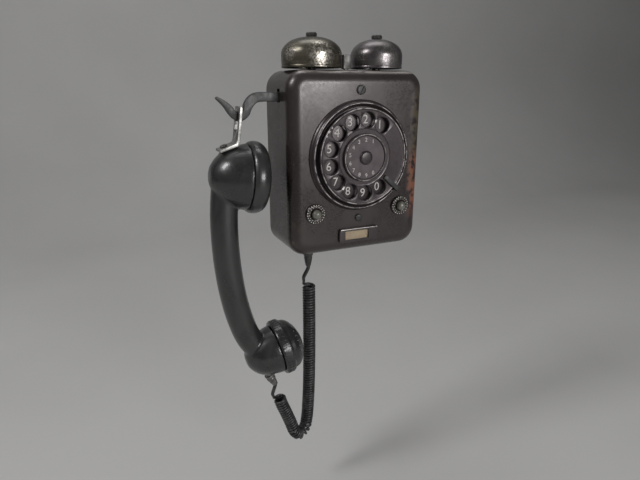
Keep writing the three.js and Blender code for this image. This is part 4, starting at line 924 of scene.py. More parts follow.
class Finishes:
    """Every finish of the telephone, built once."""

    def __init__(self) -> None:
        """Build them all."""
        self.enamel = CaseEnamel().build()
        self.bell_brown = BellMetal("browned_bell", (0.06, 0.055, 0.04), (0.13, 0.115, 0.085), (0.86, 0.8, 0.72),
                                    -29.9, 1.0).build()
        self.bell_grey = BellMetal("grey_bell", (0.1, 0.087, 0.09), (0.165, 0.148, 0.15), (0.7, 0.67, 0.66),
                                   29.9, 0.35).build()
        self.dial = DialEnamel().build()
        # Lighter copy of the dial enamel for the number plate: painted light that offsets the shade the plate gets
        # under the wheel. The label holder shares it.
        self.plate = DialEnamel("plate_enamel_lightened", (0.036, 0.0285, 0.03), edges=(), chips=()).build()
        self.card = Paper("dial_card", (0.14, 0.114, 0.12), (0.1, 0.082, 0.087), 0.7, 9).build()
        self.bakelite = Bakelite().build()
        self.button = Bakelite("button_bakelite", (0.12, 0.122, 0.1), (0.19, 0.19, 0.155)).build()
        self.bright = Metal("worn_steel", (0.28, 0.265, 0.25), (0.68, 0.66, 0.63), (0.26, 0.42)).build()
        self.worn = Metal("rubbed_steel", (0.12, 0.117, 0.112), (0.48, 0.47, 0.45), (0.3, 0.46)).build()
        self.dark = Metal("oxidised_steel", (0.05, 0.047, 0.044), (0.14, 0.135, 0.13), (0.34, 0.5),
                          metallic=0.7).build()
        self.plain = Metal("back_plate_steel", (0.04, 0.037, 0.035), (0.075, 0.071, 0.068), (0.36, 0.52),
                           metallic=0.5, stain_mm=45).build()
        self.hook = Metal("hook_steel", (0.042, 0.041, 0.04), (0.066, 0.064, 0.063), (0.38, 0.5),
                          metallic=0.4).build()
        self.grey = Metal("grey_sleeve_metal", (0.13, 0.127, 0.122), (0.3, 0.295, 0.285), (0.3, 0.44),
                          metallic=0.8).build()
        self.pip = Metal("pip_metal", (0.72, 0.72, 0.64), (0.93, 0.93, 0.86), (0.25, 0.4), metallic=0.15).build()
        self.brass = Metal("dull_brass", (0.3, 0.2, 0.09), (0.62, 0.47, 0.24), (0.3, 0.45)).build()
        self.winding = Winding().build()
        self.winding_x = Winding("copper_winding_across", (1, 0, 0)).build()
        self.label = Paper("label_card", (0.74, 0.62, 0.42), (0.66, 0.5, 0.36)).build()
        self.clear = ClearSheet().build()
        self.rubber = Rubber().build()
        self.ink = Ink().build()


def dress(piece: Piece, finish: Finish, body: str,
          replaced: tuple[str, ...] = (), angle_deg: float = 32) -> Piece:
    """Finish a new piece: material, shading, body and the CAD nodes it stands for.

    Args:
        piece: the piece, its place in its mesh.
        finish: its material.
        body: the CAD body it moves with.
        replaced: the CAD nodes it stands for.
        angle_deg: edges sharper than this stay crisp.

    Returns:
        The piece.
    """
    piece.data.materials.clear()
    piece.data.materials.append(finish)
    for face in piece.data.polygons:
        face.material_index = 0
    smooth(piece, angle_deg)
    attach(piece, body)
    if replaced:
        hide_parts(*replaced)
    LOG.info("%s: %d faces, on %s", piece.name, len(piece.data.polygons), body)
    return piece


# ---------------------------------------------------------------------------------------------- places
def hung(points: Profile) -> Profile:
    """Points given from the case's upper left corner."""
    return [(CASE_LEFT + x, CASE_TOP + z) for x, z in points]


def front_axis(x: float, z: float) -> Axis:
    """Axis square to the case front whose heights are Y coordinates."""
    return Axis((x, 0, z), (0, 1, 0))


def upright(x: float, y: float) -> Axis:
    """Upright axis whose heights are Z coordinates."""
    return Axis((x, y, 0), (0, 0, 1))


def ferrule_axis() -> Axis:
    """Axis of the ferrule, from its seat outwards along the cord."""
    tilt = math.radians(FERRULE_TILT)
    return Axis((FERRULE[0], HANG_Y, FERRULE[1]), (math.sin(tilt), 0, -math.cos(tilt)))


@dataclass
class Studio:
    """Camera, soft lights and the pale sweep that the telephone is seen against."""

    turn_deg: float = 24.1
    tilt_deg: float = 17.08
    lens: float = 28.125
    eye: Point = (-198.0, -417.67, 61.7)
    floor_z: float = -330.0
    floor_half: float = 3600.0
    flat_end: float = 700.0
    bend_start: float = 900.0
    bend_radius: float = 500.0
    bend_steps: int = 10
    wall_top: float = 2200.0

    def camera(self) -> None:
        """Place the camera."""
        data = bpy.data.cameras.new("camera")
        data.sensor_fit = "HORIZONTAL"
        data.sensor_width = 36
        data.lens = self.lens
        data.clip_start = 0.01
        data.dof.use_dof = False
        eye = bpy.data.objects.new("camera", data)
        eye.location = Vector(self.eye) * MM
        eye.rotation_euler = (math.radians(90 - self.tilt_deg), 0, math.radians(-self.turn_deg))
        bpy.context.scene.collection.objects.link(eye)
        bpy.context.scene.camera = eye

    def lamp(self, name: str, spot: Point, aim: Point, width: float, height: float, power: float,
             tint: Colour = (1, 1, 1)) -> None:
        """One soft rectangular light, in metres and watts, facing its aim."""
        data = bpy.data.lights.new(name, "AREA")
        data.shape = "RECTANGLE"
        data.size, data.size_y = width, height
        data.energy = power
        data.color = tint
        lamp = bpy.data.objects.new(name, data)
        lamp.location = spot
        lamp.rotation_euler = (Vector(aim) - Vector(spot)).to_track_quat("-Z", "Y").to_euler()
        bpy.context.scene.collection.objects.link(lamp)

    def lights(self) -> None:
        """Key panel in front, strip at the left, panel above, wash on the backdrop and a grey world."""
        self.lamp("key_panel", (0.3, -1.28, 0.2), (0, 0, 0.04), 0.56, 0.36, 7.8)
        self.lamp("left_strip", (-1.15, -0.15, 0.95), (-0.03, -0.03, 0.03), 0.3, 0.5, 9)
        self.lamp("top_panel", (0.1, 0.35, 1.2), (0, 0.1, 0), 0.7, 0.5, 2.5)
        self.lamp("back_wash", (0.15, 0.7, 1.9), (0.2, 0.9, -0.3), 2.4, 1.4, 7)
        bpy.context.scene.view_settings.view_transform = "Standard"
        world = bpy.data.worlds.new("studio")
        world.use_nodes = True
        world.node_tree.nodes["Background"].inputs[0].default_value = (0.47, 0.465, 0.46, 1)
        world.node_tree.nodes["Background"].inputs[1].default_value = 0.16
        bpy.context.scene.world = world

    def sweep(self) -> None:
        """Pale floor that curves up into a backdrop well behind the telephone."""
        profile = [(-self.floor_half, self.floor_z), (self.flat_end, self.floor_z), (self.bend_start, self.floor_z)]
        for i in range(1, self.bend_steps + 1):
            turn = math.radians(90 / self.bend_steps * i)
            profile.append((self.bend_start + self.bend_radius * math.sin(turn),
                            self.floor_z + self.bend_radius - self.bend_radius * math.cos(turn)))
        profile.append((self.bend_start + self.bend_radius, self.wall_top))
        corners = [(x, y, z) for y, z in profile for x in (-self.floor_half, self.floor_half)]
        faces = [(2 * i, 2 * i + 1, 2 * i + 3, 2 * i + 2) for i in range(len(profile) - 1)]
        mesh = bpy.data.meshes.new("pale_sweep")
        mesh.from_pydata([(x * MM, y * MM, z * MM) for x, y, z in corners], [], faces)
        floor = bpy.data.objects.new("pale_sweep", mesh)
        bpy.context.scene.collection.objects.link(floor)
        mesh.shade_smooth()
        r = Recipe("pale_paper")
        cloud = r.noise(400, 3)
        colour = r.mix(r.span(cloud, 0.3, 0.7), (0.52, 0.515, 0.51), (0.55, 0.545, 0.54))
        r.finish(colour, r.span(cloud, 0.3, 0.7, 0.8, 0.9), Specular_IOR_Level=0.1)
        mesh.materials.append(r.material)

    def build(self) -> None:
        """Build the whole studio."""
        self.camera()
        self.lights()
        self.sweep()


# ---------------------------------------------------------------------------------------------- cord
@dataclass
class CurlyCord:
    """The curly cord between the case and the handset, with the gland and the ferrule it passes through."""

    finishes: Finishes
    wire: float = 2.3
    coil_radius: float = 4.9
    pitch: float = 2.58
    lead_wire: float = 3.4
    tight_bend: float = 4.75
    fine: float = 0.05
    sleeve_end: float = 19
    points_per_turn: int = 14
    gland_tip: float = CASE_BOTTOM - 19.5

    def from_gland(self, x: float, z: float, y: float | None = None) -> Point:
        """A point given from the gland's tip."""
        return (GLAND[0] + x, GLAND[1] if y is None else y, self.gland_tip + z)

    def from_ferrule(self, x: float, z: float) -> Point:
        """A point given from the ferrule's seat on the handset."""
        return (FERRULE[0] + x, HANG_Y, FERRULE[1] + z)

    def along_ferrule(self, reach: float) -> Point:
        """A point on the ferrule's axis."""
        tilt = math.radians(FERRULE_TILT)
        return self.from_ferrule(reach * math.sin(tilt), -reach * math.cos(tilt))

    def route(self) -> tuple[list[Point], list[Point], list[Point]]:
        """Where the case lead starts, the coil's middle line and where the handset lead ends."""
        case_lead = [self.from_gland(x, z) for x, z in ((0, 3), (0, -1.5))]
        coil = [self.from_gland(x, z) for x, z in (
            (0.4, -13.5), (0.5, -24.0), (0.6, -41.2), (0.6, -66.2), (0.4, -92.2), (-0.2, -120.2), (-1.2, -142.2),
            (-2.6, -159.2))]
        coil += [self.from_gland(-5.4, -169.4, -25), self.from_gland(-11.8, -173.7, -27)]
        coil += [self.from_ferrule(x, z) for x, z in (
            (25.1, -70.8), (20.8, -58.3), (16.7, -46.9), (12.9, -37.0), (9.4, -25.0))]
        lead = [self.along_ferrule(15.4), self.along_ferrule(11.5)]
        return case_lead, coil, lead

    def winding_in(self) -> list[float]:
        """How fast the wire turns about the coil (rad/mm) at each step from an end, until it is even.

        The wire leaves the coil along its side, and no bend on the way is tighter than tight_bend.
        """
        slope, height, turning = math.pi / 2, 0.0, []
        slope_end = math.atan2(self.pitch, TAU * self.coil_radius)
        step = 0.02
        while slope > slope_end:
            wrap = math.cos(slope) ** 2 / self.coil_radius
            slope -= step * math.sqrt(max((1 / self.tight_bend) ** 2 - wrap ** 2, 1e-4))
            height += math.sin(max(slope, slope_end)) * step
            while len(turning) * self.fine < height:
                turning.append(1 / math.tan(max(slope, slope_end)) / self.coil_radius)
        return turning

    def helix(self, middle: list[Point]) -> list[Point]:
        """Wind the wire round the coil's middle line, opening the turns where it bends."""
        line = smooth_line(middle, self.fine)
        frames = carried_frames(line)
        total = len(line)
        ends = self.winding_in()
        span = round(1.7 / self.fine)
        speeds = []
        for i in range(total):
            ahead, behind = frames[min(i + span, total - 1)][0], frames[max(i - span, 0)][0]
            bend = ahead.angle(behind, 0.0) / (2 * span * self.fine)
            speed = TAU / (self.pitch * (1 + min(0.85, 0.95 * bend * self.coil_radius)))
            near = min(i, total - 1 - i)
            speeds.append(min(speed, ends[near]) if near < len(ends) else speed)
        first, last = (math.atan2(-other.x, -side.x) for _, side, other in (frames[0], frames[-1]))
        whole = sum(speeds[:-1]) * self.fine
        wanted = round((whole - last + first) / TAU) * TAU + last - first
        even, angle, gone, made = wanted / whole, first, 1e9, []
        for i in range(total):
            _, side, other = frames[i]
            if gone >= TAU / self.points_per_turn or i == total - 1:
                out = side * math.cos(angle) + other * math.sin(angle)
                made.append(tuple(Vector(line[i]) + out * self.coil_radius))
                gone = 0.0
            speed = speeds[i] * even
            angle += speed * self.fine
            gone += math.hypot(speed * self.coil_radius, 1) * self.fine / self.coil_radius
        return made

    def centre_line(self) -> list[Point]:
        """The wire's whole middle line."""
        case_lead, coil, lead = self.route()
        wound = self.helix(coil)
        start, after = Vector(coil[0]), Vector(coil[1])
        down = (after - start).normalized()
        side_in = [tuple(Vector(wound[0]) - down * reach) for reach in (3.0, 0.0)]
        end, before = Vector(coil[-1]), Vector(coil[-2])
        on = (end - before).normalized()
        side_out = [tuple(Vector(wound[-1]) + on * reach) for reach in (0.0, 2.5)]
        first = smooth_line(case_lead + side_in, 1.2)[:-1]
        last = smooth_line(side_out + lead, 1.2)[1:]
        return first + wound + last

    def radii(self, line: list[Point]) -> list[float]:
        """Radius at each point: the leads carry a sleeve, which thins down where the coil starts."""
        walked, steps = 0.0, [0.0]
        for a, b in zip(line, line[1:]):
            walked += (Vector(b) - Vector(a)).length
            steps.append(walked)
        sleeve = (self.lead_wire - self.wire) / 2
        fade = [min(1.0, max(0.0, (self.sleeve_end - min(s, walked - s)) / 6)) for s in steps]
        return [self.wire / 2 * 1.02 + sleeve * f for f in fade]

    def build(self) -> None:
        """Build gland, cord and ferrule."""
        line = self.centre_line()
        cord = tube("curly_cord", line, self.radii(line), 10)
        cord.data.materials.append(self.finishes.rubber)
        cord.data.shade_smooth()
        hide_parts("coiled_cord", "case_lead", "handset_lead")
        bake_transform(cord)
        self.build_gland()
        self.build_ferrule()

    def build_gland(self) -> None:
        """Tapered grommet with grip rings, in the case's underside."""
        top = CASE_BOTTOM
        profile = rounded([
            (0, top + 4.5), (5.8, top + 4.5), (5.8, top + 2.8), (4.2, top + 2.8), (4.2, top - 0.3), (5.4, top - 0.3),
            (5.4, top - 3.2), (4.7, top - 3.8), (4.7, top - 5.4), (4.9, top - 6), (4.3, top - 9), (3.7, top - 9.5),
            (3.7, top - 10.6), (3.8, top - 11.1), (3.2, top - 15), (2.3, self.gland_tip + 0.2),
            (1.5, self.gland_tip), (1.5, self.gland_tip + 3.6), (0, self.gland_tip + 3.6)], 0.5)
        dress(turned("gland", profile, upright(*GLAND), 48), self.finishes.rubber, "case",
              ("cord_gland",))

    def build_ferrule(self) -> None:
        """Grey turned sleeve where the cord enters the handset."""
        axis = ferrule_axis()
        profile = rounded([
            (0, -5.2), (3, -5.2), (3, 2.1), (4.4, 2.1), (4.4, 4.1), (3.9, 4.5), (3.9, 5.5), (4.2, 6), (4.1, 7.6),
            (3.7, 8.6), (2.5, 15.4), (1.55, 15.4), (1.55, 10.3), (0, 10.3)], 0.4)
        dress(turned("ferrule", profile, axis, 48), self.finishes.grey, "handset",
              ("handset_ferrule",))


# ---------------------------------------------------------------------------------------------- case
@dataclass
class CaseCover:
    """Pressed steel cover with its cover screws and the label holder."""

    finishes: Finishes
    corner: float = 15
    edge: float = 10
    wall: float = 2.4
    edge_steps: int = 9
    rim: float = 0.25
    dial_hole: float = 36
    gland_hole: float = 4.6
    button_hole: float = 3.3
    upper_screw_z: float = CASE_TOP - 15
    lower_screw_z: float = CASE_BOTTOM + 29.5
    label_z: float = -59.2

    def skin(self, inset: float, corner: float, edge: float, depth: float) -> list[Point]:
        """Rings of one skin from the back rim to the front face, each an inset, a Y and a corner radius."""
        rows: Profile = [(0, 0), (0, -0.8), (0, -(depth - edge) + 0.7)]
        for i in range(self.edge_steps + 1):
            turn = math.pi / 2 * i / self.edge_steps
            rows.append((edge * (1 - math.cos(turn)), -(depth - edge + edge * math.sin(turn))))
        rows.append((edge + 0.7, -depth))
        return [(inset + extra, y, max(corner - extra, 2.0)) for extra, y in rows]

    def shell(self) -> Piece:
        """The cover: outer skin, back rim and inner skin, cut for the dial, hook, clapper and gland."""
        outer = self.skin(0, self.corner, self.edge, CASE_DEPTH)
        inner = self.skin(self.wall, self.corner - self.wall, self.edge - self.wall, CASE_DEPTH - self.wall)
        rings = list(reversed(outer))
        rings[-1] = (0, -self.rim, self.corner)
        rings += [(self.rim, 0.0, self.corner - self.rim),
                  (self.wall - self.rim, 0.0, self.corner - self.wall + self.rim),
                  (self.wall, -self.rim, self.corner - self.wall)]
        rings += inner[1:]
        corners: list[Point] = []
        size = 0
        for inset, y, corner in rings:
            outline = rounded_rect(CASE_WIDTH - 2 * inset, CASE_HEIGHT - 2 * inset, corner)
            size = len(outline)
            corners += [(x, y, z) for x, z in outline]
        faces = [tuple(range(size)), *band_faces(len(rings), size)]
        last = (len(rings) - 1) * size
        faces.append(tuple(last + i for i in range(size)))
        shell = make_object("case_cover", corners, faces)
        front, back = CASE_FRONT - 3, CASE_FRONT + 6
        cut(shell, rod("dial_hole", self.dial_hole, front, back, front_axis(0, DIAL_Z), 96))
        cut(shell, slab("clapper_slot", rounded_rect(11, 12, 1.5, 1.2, CASE_TOP, 4), -21.5, -28.5))
        slot = [(CASE_LEFT - 3, 49.5), (CASE_LEFT + 5, 49.5), (CASE_LEFT + 5, 60), (CASE_LEFT - 3, 60)]
        cut(shell, slab("hook_slot", slot, HANG_Y + 2.9, HANG_Y - 2.9))
        cut(shell, rod("gland_hole", self.gland_hole, CASE_BOTTOM - 3, CASE_BOTTOM + 5, upright(*GLAND), 40))
        for sign in (-1, 1):
            cut(shell, rod("button_hole", self.button_hole, front, back, front_axis(sign * BUTTON_X, BUTTON_Z), 32))
        tidy_normals(shell)
        return shell

    def screw(self, name: str, z: float, head: float, slot_deg: float) -> Piece:
        """Domed slotted screw in the case front."""
        seat = CASE_FRONT - SEAT
        profile = rounded([(0, seat + 11.5), (1.5, seat + 11.5), (1.6, seat - 0.1), (head, seat - 0.05),
                           (head, seat - 0.75), (head * 0.8, seat - 1.3), (0, seat - 1.5)], 0.45)
        made = turned(name, profile, front_axis(0, z), 48)
        turn = math.radians(slot_deg)
        along, across = Vector((math.cos(turn), math.sin(turn))), Vector((-math.sin(turn), math.cos(turn)))
        box = [along * sx * (head + 1) + across * sz * 0.5 for sx, sz in ((-1, -1), (1, -1), (1, 1), (-1, 1))]
        cut(made, slab("slot", [(p.x, z + p.y) for p in box], seat - 0.65, seat - 3))
        tidy_normals(made)
        return made

    def label(self) -> None:
        """Stamped label holder with its card behind a clear window, and a bright rod along its top edge that paints the
        highlight there.
        """
        z, seat = self.label_z, CASE_FRONT - SEAT
        frame_plate = slab("label_holder", rounded_rect(37, 12, 2.2, 0, z, 6), seat, seat - 2.3, 0.6)
        cut(frame_plate, slab("window", rounded_rect(22.6, 7.6, 0.8, -1.8, z, 4), seat + 1, seat - 4))
        cut(frame_plate, slab("pocket", rounded_rect(28.8, 9, 0.8, 0, z, 4), seat + 1, seat - 1.5))
        tidy_normals(frame_plate)
        dress(frame_plate, self.finishes.plate, "case", ("label_frame",))
        # Bright steel rod along the holder's top edge: a painted highlight on that edge.
        arch = [(-17.4, seat - 2.1, z + 5.3), (0, seat - 2.25, z + 5.45), (17.4, seat - 2.1, z + 5.3)]
        crest = smooth_line(arch, 1.2)
        highlight_lip = tube("label_highlight_lip", crest, [0.42] * len(crest), 10)
        dress(highlight_lip, self.finishes.bright, "case")
        card = slab("paper_label", rounded_rect(28.2, 8.4, 0.5, 0, z, 4), seat - 0.02, seat - 0.3, 0.05)
        dress(card, self.finishes.label, "case", ("label_card",))
        clear = slab("label_glass", rounded_rect(28.2, 8.4, 0.5, 0, z, 4), seat - 0.62, seat - 1.05, 0.1)
        dress(clear, self.finishes.clear, "case", ("label_window",))

    def build(self) -> None:
        """Build cover, screws and label."""
        dress(self.shell(), self.finishes.enamel, "case", ("case_shell",), 40)
        dress(self.screw("upper_cover_screw", self.upper_screw_z, 3.9, 62), self.finishes.hook, "case",
              ("top_case_screw",))
        dress(self.screw("lower_cover_screw", self.lower_screw_z, 3.1, -24), self.finishes.hook, "case",
              ("bottom_case_screw",))
        self.label()


# ---------------------------------------------------------------------------------------------- bells
@dataclass
class Bells:
    """The two bells with their nuts, and the clapper's head between them."""

    finishes: Finishes
    spacing: float = 29.9
    y: float = -25
    left_radius: float = 24.4
    right_radius: float = 21.9
    height: float = 23.6
    wall: float = 1.4
    lift: float = 1.6
    nut_radius: float = 4.5

    def dome(self, radius: float, height: float, skirt: float, steps: int = 26) -> Profile:
        """Half outline of a bell's skin, from its rim up to the crown."""
        rim = CASE_TOP + self.lift
        made = []
        for i in range(steps):
            turn = math.pi / 2 * i / steps
            made.append((radius * math.cos(turn) ** 0.86, rim + skirt + (height - skirt) * math.sin(turn)))
        return made

    def bell(self, name: str, x: float, radius: float) -> Piece:
        """One bell, open below, with a rolled rim."""
        rim = CASE_TOP + self.lift
        skirt = self.height * 0.42
        top = rim + self.height
        inside = self.dome(radius - self.wall, self.height - self.wall, skirt)
        outside = self.dome(radius, self.height, skirt)
        foot = rounded([(radius - self.wall, rim + 4), (radius - self.wall, rim), (radius, rim), (radius, rim + 1.5),
                        (radius - 0.35, rim + 2.1), (radius, rim + 4.5)], 0.5)
        profile = [(2.1, top - self.wall)] + inside[::-1] + foot + outside + [(2.1, top)]
        return turned(name, profile, upright(x, self.y), 128, closed=True)

    def nut(self, name: str, x: float) -> Piece:
        """Six-sided nut with chamfered corners, bored for its post."""
        low = CASE_TOP + self.lift + self.height + SEAT
        turns = [TAU * (i + 0.5) / 6 for i in range(6)]
        outline = [(self.nut_radius * math.cos(turn), self.nut_radius * math.sin(turn)) for turn in turns]
        corners = [(x + px, self.y + py, z) for z in (low, low + 2.9) for px, py in outline]
        nut = make_object(name, corners, prism_faces(len(outline)))
        cone = turned("chamfer", [(0, low - 0.1), (4.15, low - 0.1), (4.6, low + 0.7), (4.6, low + 1.9), (3.5, low + 3),
                                  (0, low + 3)], upright(x, self.y), 64)
        cut(nut, cone, "INTERSECT")
        bevel_rims(nut, 0.25, 25)
        cut(nut, rod("bore", 2, low - 1, low + 4, upright(x, self.y), 32))
        tidy_normals(nut)
        return nut

    def clapper(self) -> Piece:
        """Clapper: armature, stem and flat head."""
        pivot = CASE_TOP - 7.2
        parts = [
            ([(-17.7, pivot - 1), (20.1, pivot - 1), (20.1, pivot + 1), (-17.7, pivot + 1)], 2.5),
            ([(-0.4, pivot + 2), (2.8, pivot + 2), (2.8, CASE_TOP + 2), (-0.4, CASE_TOP + 2)], 1.6),
            (rounded([(-2.1, CASE_TOP + 1.2), (4.5, CASE_TOP + 1.2), (4.5, CASE_TOP + 12.5), (-2.1, CASE_TOP + 12.5)],
                     0.9, 4, True), 2.5),
        ]
        made = [slab("part", outline, self.y + half, self.y - half, 0.3) for outline, half in parts]
        boss = turned("boss", [(1.65, self.y - 2.5), (3, self.y - 2.5), (3, self.y + 2.5), (1.65, self.y + 2.5)],
                      front_axis(1.2, pivot), 32, closed=True)
        return join("clapper_arm", made + [boss])

    def build(self) -> None:
        """Build both bells, their nuts and the clapper."""
        left = self.bell("bell_left", -self.spacing, self.left_radius)
        right = self.bell("bell_right", self.spacing, self.right_radius)
        dress(left, self.finishes.bell_brown, "case", ("left_bell",))
        dress(right, self.finishes.bell_grey, "case", ("right_bell",))
        for side, x in (("left", -self.spacing), ("right", self.spacing)):
            dress(self.nut(f"bell_nut_{side}", x), self.finishes.dark, "case",
                  (f"{side}_bell_nut",), 25)
        dress(self.clapper(), self.finishes.dark, "clapper", ("clapper",))


# ---------------------------------------------------------------------------------------------- dial
@dataclass
class Dial:
    """Bezel, number plate, finger wheel with its centre card, finger stop and digits."""

    finishes: Finishes
    centre_z: float = DIAL_Z
    wheel_radius: float = 39
    wheel_height: float = 8
    wheel_thick: float = 1.6
    hole_radius: float = 6.2
    hole_circle: float = 29.6
    first_hole_deg: float = 57
    hole_step_deg: float = 27.1
    stop_deg: float = -41
    digit_circle: float = 29.9
    digit_tall: float = 6.8
    digit_height: float = 3.03
    card_digit_circle: float = 14.3
    card_digit_tall: float = 3.1
    card_digit_height: float = 10.63
    card_first_deg: float = 64
    card_step_deg: float = 26.2

    def y(self, height: float) -> float:
        """Y of a height above the case front."""
        return CASE_FRONT - height

    def axis(self) -> Axis:
        """The dial's axis."""
        return front_axis(0, self.centre_z)

    def ring(self, name: str, points: Profile, fillet: float, steps: int = 4) -> Piece:
        """A turned ring whose profile is (radius, height above the case front)."""
        profile = rounded([(radius, self.y(height)) for radius, height in points], fillet, steps, True)
        return turned(name, profile, self.axis(), 160, closed=True)

    def bezel(self) -> Piece:
        """Stepped bezel with a rolled crest."""
        return self.ring("bezel", [
            (37, SEAT), (45, SEAT), (44.9, 1.5), (44.2, 2.3), (43.6, 4.2), (42.9, 5.15), (42.3, 5.4), (41.7, 5.2),
            (41, 4.2), (40.1, 3.2), (40, 1.5), (37, 1.5)], 0.4)

    def wheel(self) -> Piece:
        """Finger wheel with ten lipped holes and a raised rim."""
        back = self.wheel_height - self.wheel_thick
        wheel = self.ring("finger_disc", [
            (2.8, back), (38.6, back), (self.wheel_radius, back + 0.6), (self.wheel_radius, 8.1), (38.6, 8.5),
            (37.9, 8.45), (37.1, 8.0),
            (24, 8.0), (23.2, 8.25), (22.4, 8.0), (2.8, 8.0)], 0.3)
        front = self.y(self.wheel_height)
        for i in range(10):
            angle = math.radians(self.first_hole_deg + self.hole_step_deg * i)
            x, z = self.hole_circle * math.cos(angle), self.centre_z + self.hole_circle * math.sin(angle)
            r = self.hole_radius
            profile = [(0, front - 2), (r + 1.4, front - 2), (r + 0.62, front), (r + 0.3, front + 0.12),
                       (r + 0.08, front + 0.32), (r, front + 0.6), (r, front + 3), (0, front + 3)]
            cut(wheel, turned("finger_hole", profile, front_axis(x, z), 56))
        tidy_normals(wheel)
        return wheel

    def stop(self) -> Piece:
        """Bent finger stop, springing from the bezel over the wheel."""
        foot, under = 5.4 + SEAT, self.wheel_height + 1
        outline = rounded([(43.9, foot), (43.9, under + 0.4), (42.3, under + 1.4), (28, under + 1.4),
                           (25.4, under + 0.5), (26, under), (41.5, under), (41.5, foot)], 0.5, 4, True)
        turn = math.radians(self.stop_deg)
        out, across = Vector((math.cos(turn), 0, math.sin(turn))), Vector((-math.sin(turn), 0, math.cos(turn)))
        corners: list[Point] = []
        for side in (-1.9, 1.9):
            for radius, height in outline:
                spot = out * radius + across * side * (1 if radius > 30 else 0.86)
                corners.append((spot.x, self.y(height), self.centre_z + spot.z))
        stop = make_object("stop_hook", corners, prism_faces(len(outline)))
        bevel_rims(stop, 0.35)
        return stop

    def digit(self, text: str, x: float, z: float, tall: float, height: float) -> Piece:
        """One upright digit lying on a face of the dial."""
        curve = bpy.data.curves.new(f"digit_{text}", "FONT")
        curve.body = text
        curve.size = tall * MM / 0.7
        curve.extrude = 0.04 * MM
        curve.offset = 0.004 * tall * MM
        curve.align_x, curve.align_y = "CENTER", "CENTER"
        curve.resolution_u = 6
        holder = bpy.data.objects.new(curve.name, curve)
        bpy.context.scene.collection.objects.link(holder)
        bpy.context.view_layer.update()
        mesh = bpy.data.meshes.new_from_object(holder.evaluated_get(bpy.context.evaluated_depsgraph_get()))
        bpy.data.objects.remove(holder)
        low = [min(v.co[i] for v in mesh.vertices) for i in (0, 1)]
        high = [max(v.co[i] for v in mesh.vertices) for i in (0, 1)]
        middle = Vector(((low[0] + high[0]) / 2, (low[1] + high[1]) / 2, 0))
        place = Matrix.Translation(Vector((x, self.y(height), z)) * MM) @ Matrix.Rotation(math.pi / 2, 4, "X")
        mesh.transform(place @ Matrix.Translation(-middle))
        made = bpy.data.objects.new(f"digit_{text}", mesh)
        bpy.context.scene.collection.objects.link(made)
        return made

    def digits(self) -> None:
        """Digits on the number plate, and the small ones on the card."""
        big, small = [], []
        for i, text in enumerate("1234567890"):
            outer = math.radians(self.first_hole_deg + self.hole_step_deg * i)
            inner = math.radians(self.card_first_deg + self.card_step_deg * i)
            big.append(self.digit(text, self.digit_circle * math.cos(outer),
                                  self.centre_z + self.digit_circle * math.sin(outer), self.digit_tall,
                                  self.digit_height))
            small.append(self.digit(text, self.card_digit_circle * math.cos(inner),
                                    self.centre_z + self.card_digit_circle * math.sin(inner), self.card_digit_tall,
                                    self.card_digit_height))
        dress(join("plate_digits", big), self.finishes.ink, "case", (), 40)
        dress(join("card_digits", small), self.finishes.ink, "dial_wheel", (), 40)

    def build(self) -> None:
        """Build the dial's visible pieces."""
        finish, slot = self.finishes.dial, Slot.DIAL_METAL
        dress(self.bezel(), finish, "case", ("dial_bezel",))
        plate = self.ring("digit_plate", [(4.9, 1.8), (39.4, 1.8), (39.4, 3.0), (4.9, 3.0)], 0.2)
        dress(plate, self.finishes.plate, "case", ("number_plate",))
        dress(self.wheel(), finish, "dial_wheel", ("finger_wheel",))
        dress(self.stop(), self.finishes.hook, "case", ("finger_stop",))
        holder = self.ring("card_holder", [
            (2.8, 8.3), (18.9, 8.3), (19.2, 8.7), (19.2, 10.4), (18.8, 11.2), (18.2, 11.5), (17.5, 11.4), (17.3, 11),
            (17.3, 9.8), (2.8, 9.8)], 0.3)
        dress(holder, finish, "dial_wheel", ("card_ring",))
        card = self.ring("centre_card", [(2.8, 10.1), (17, 10.1), (17, 10.6), (2.8, 10.6)], 0.1)
        dress(card, self.finishes.card, "dial_wheel", ("number_card",))
        cap = turned("centre_cap", rounded([(0, self.y(10.9)), (5.6, self.y(10.9)), (5.6, self.y(11.7)),
                                            (4.6, self.y(12.6)), (2.6, self.y(12.85)), (0, self.y(12.9))], 0.5),
                     self.axis(), 72)
        dress(cap, finish, "dial_wheel", ("hub_cap",))
        self.digits()


# ---------------------------------------------------------------------------------------------- push buttons
class Side(Enum):
    """Left or right of the case."""

    LEFT = -1
    RIGHT = 1


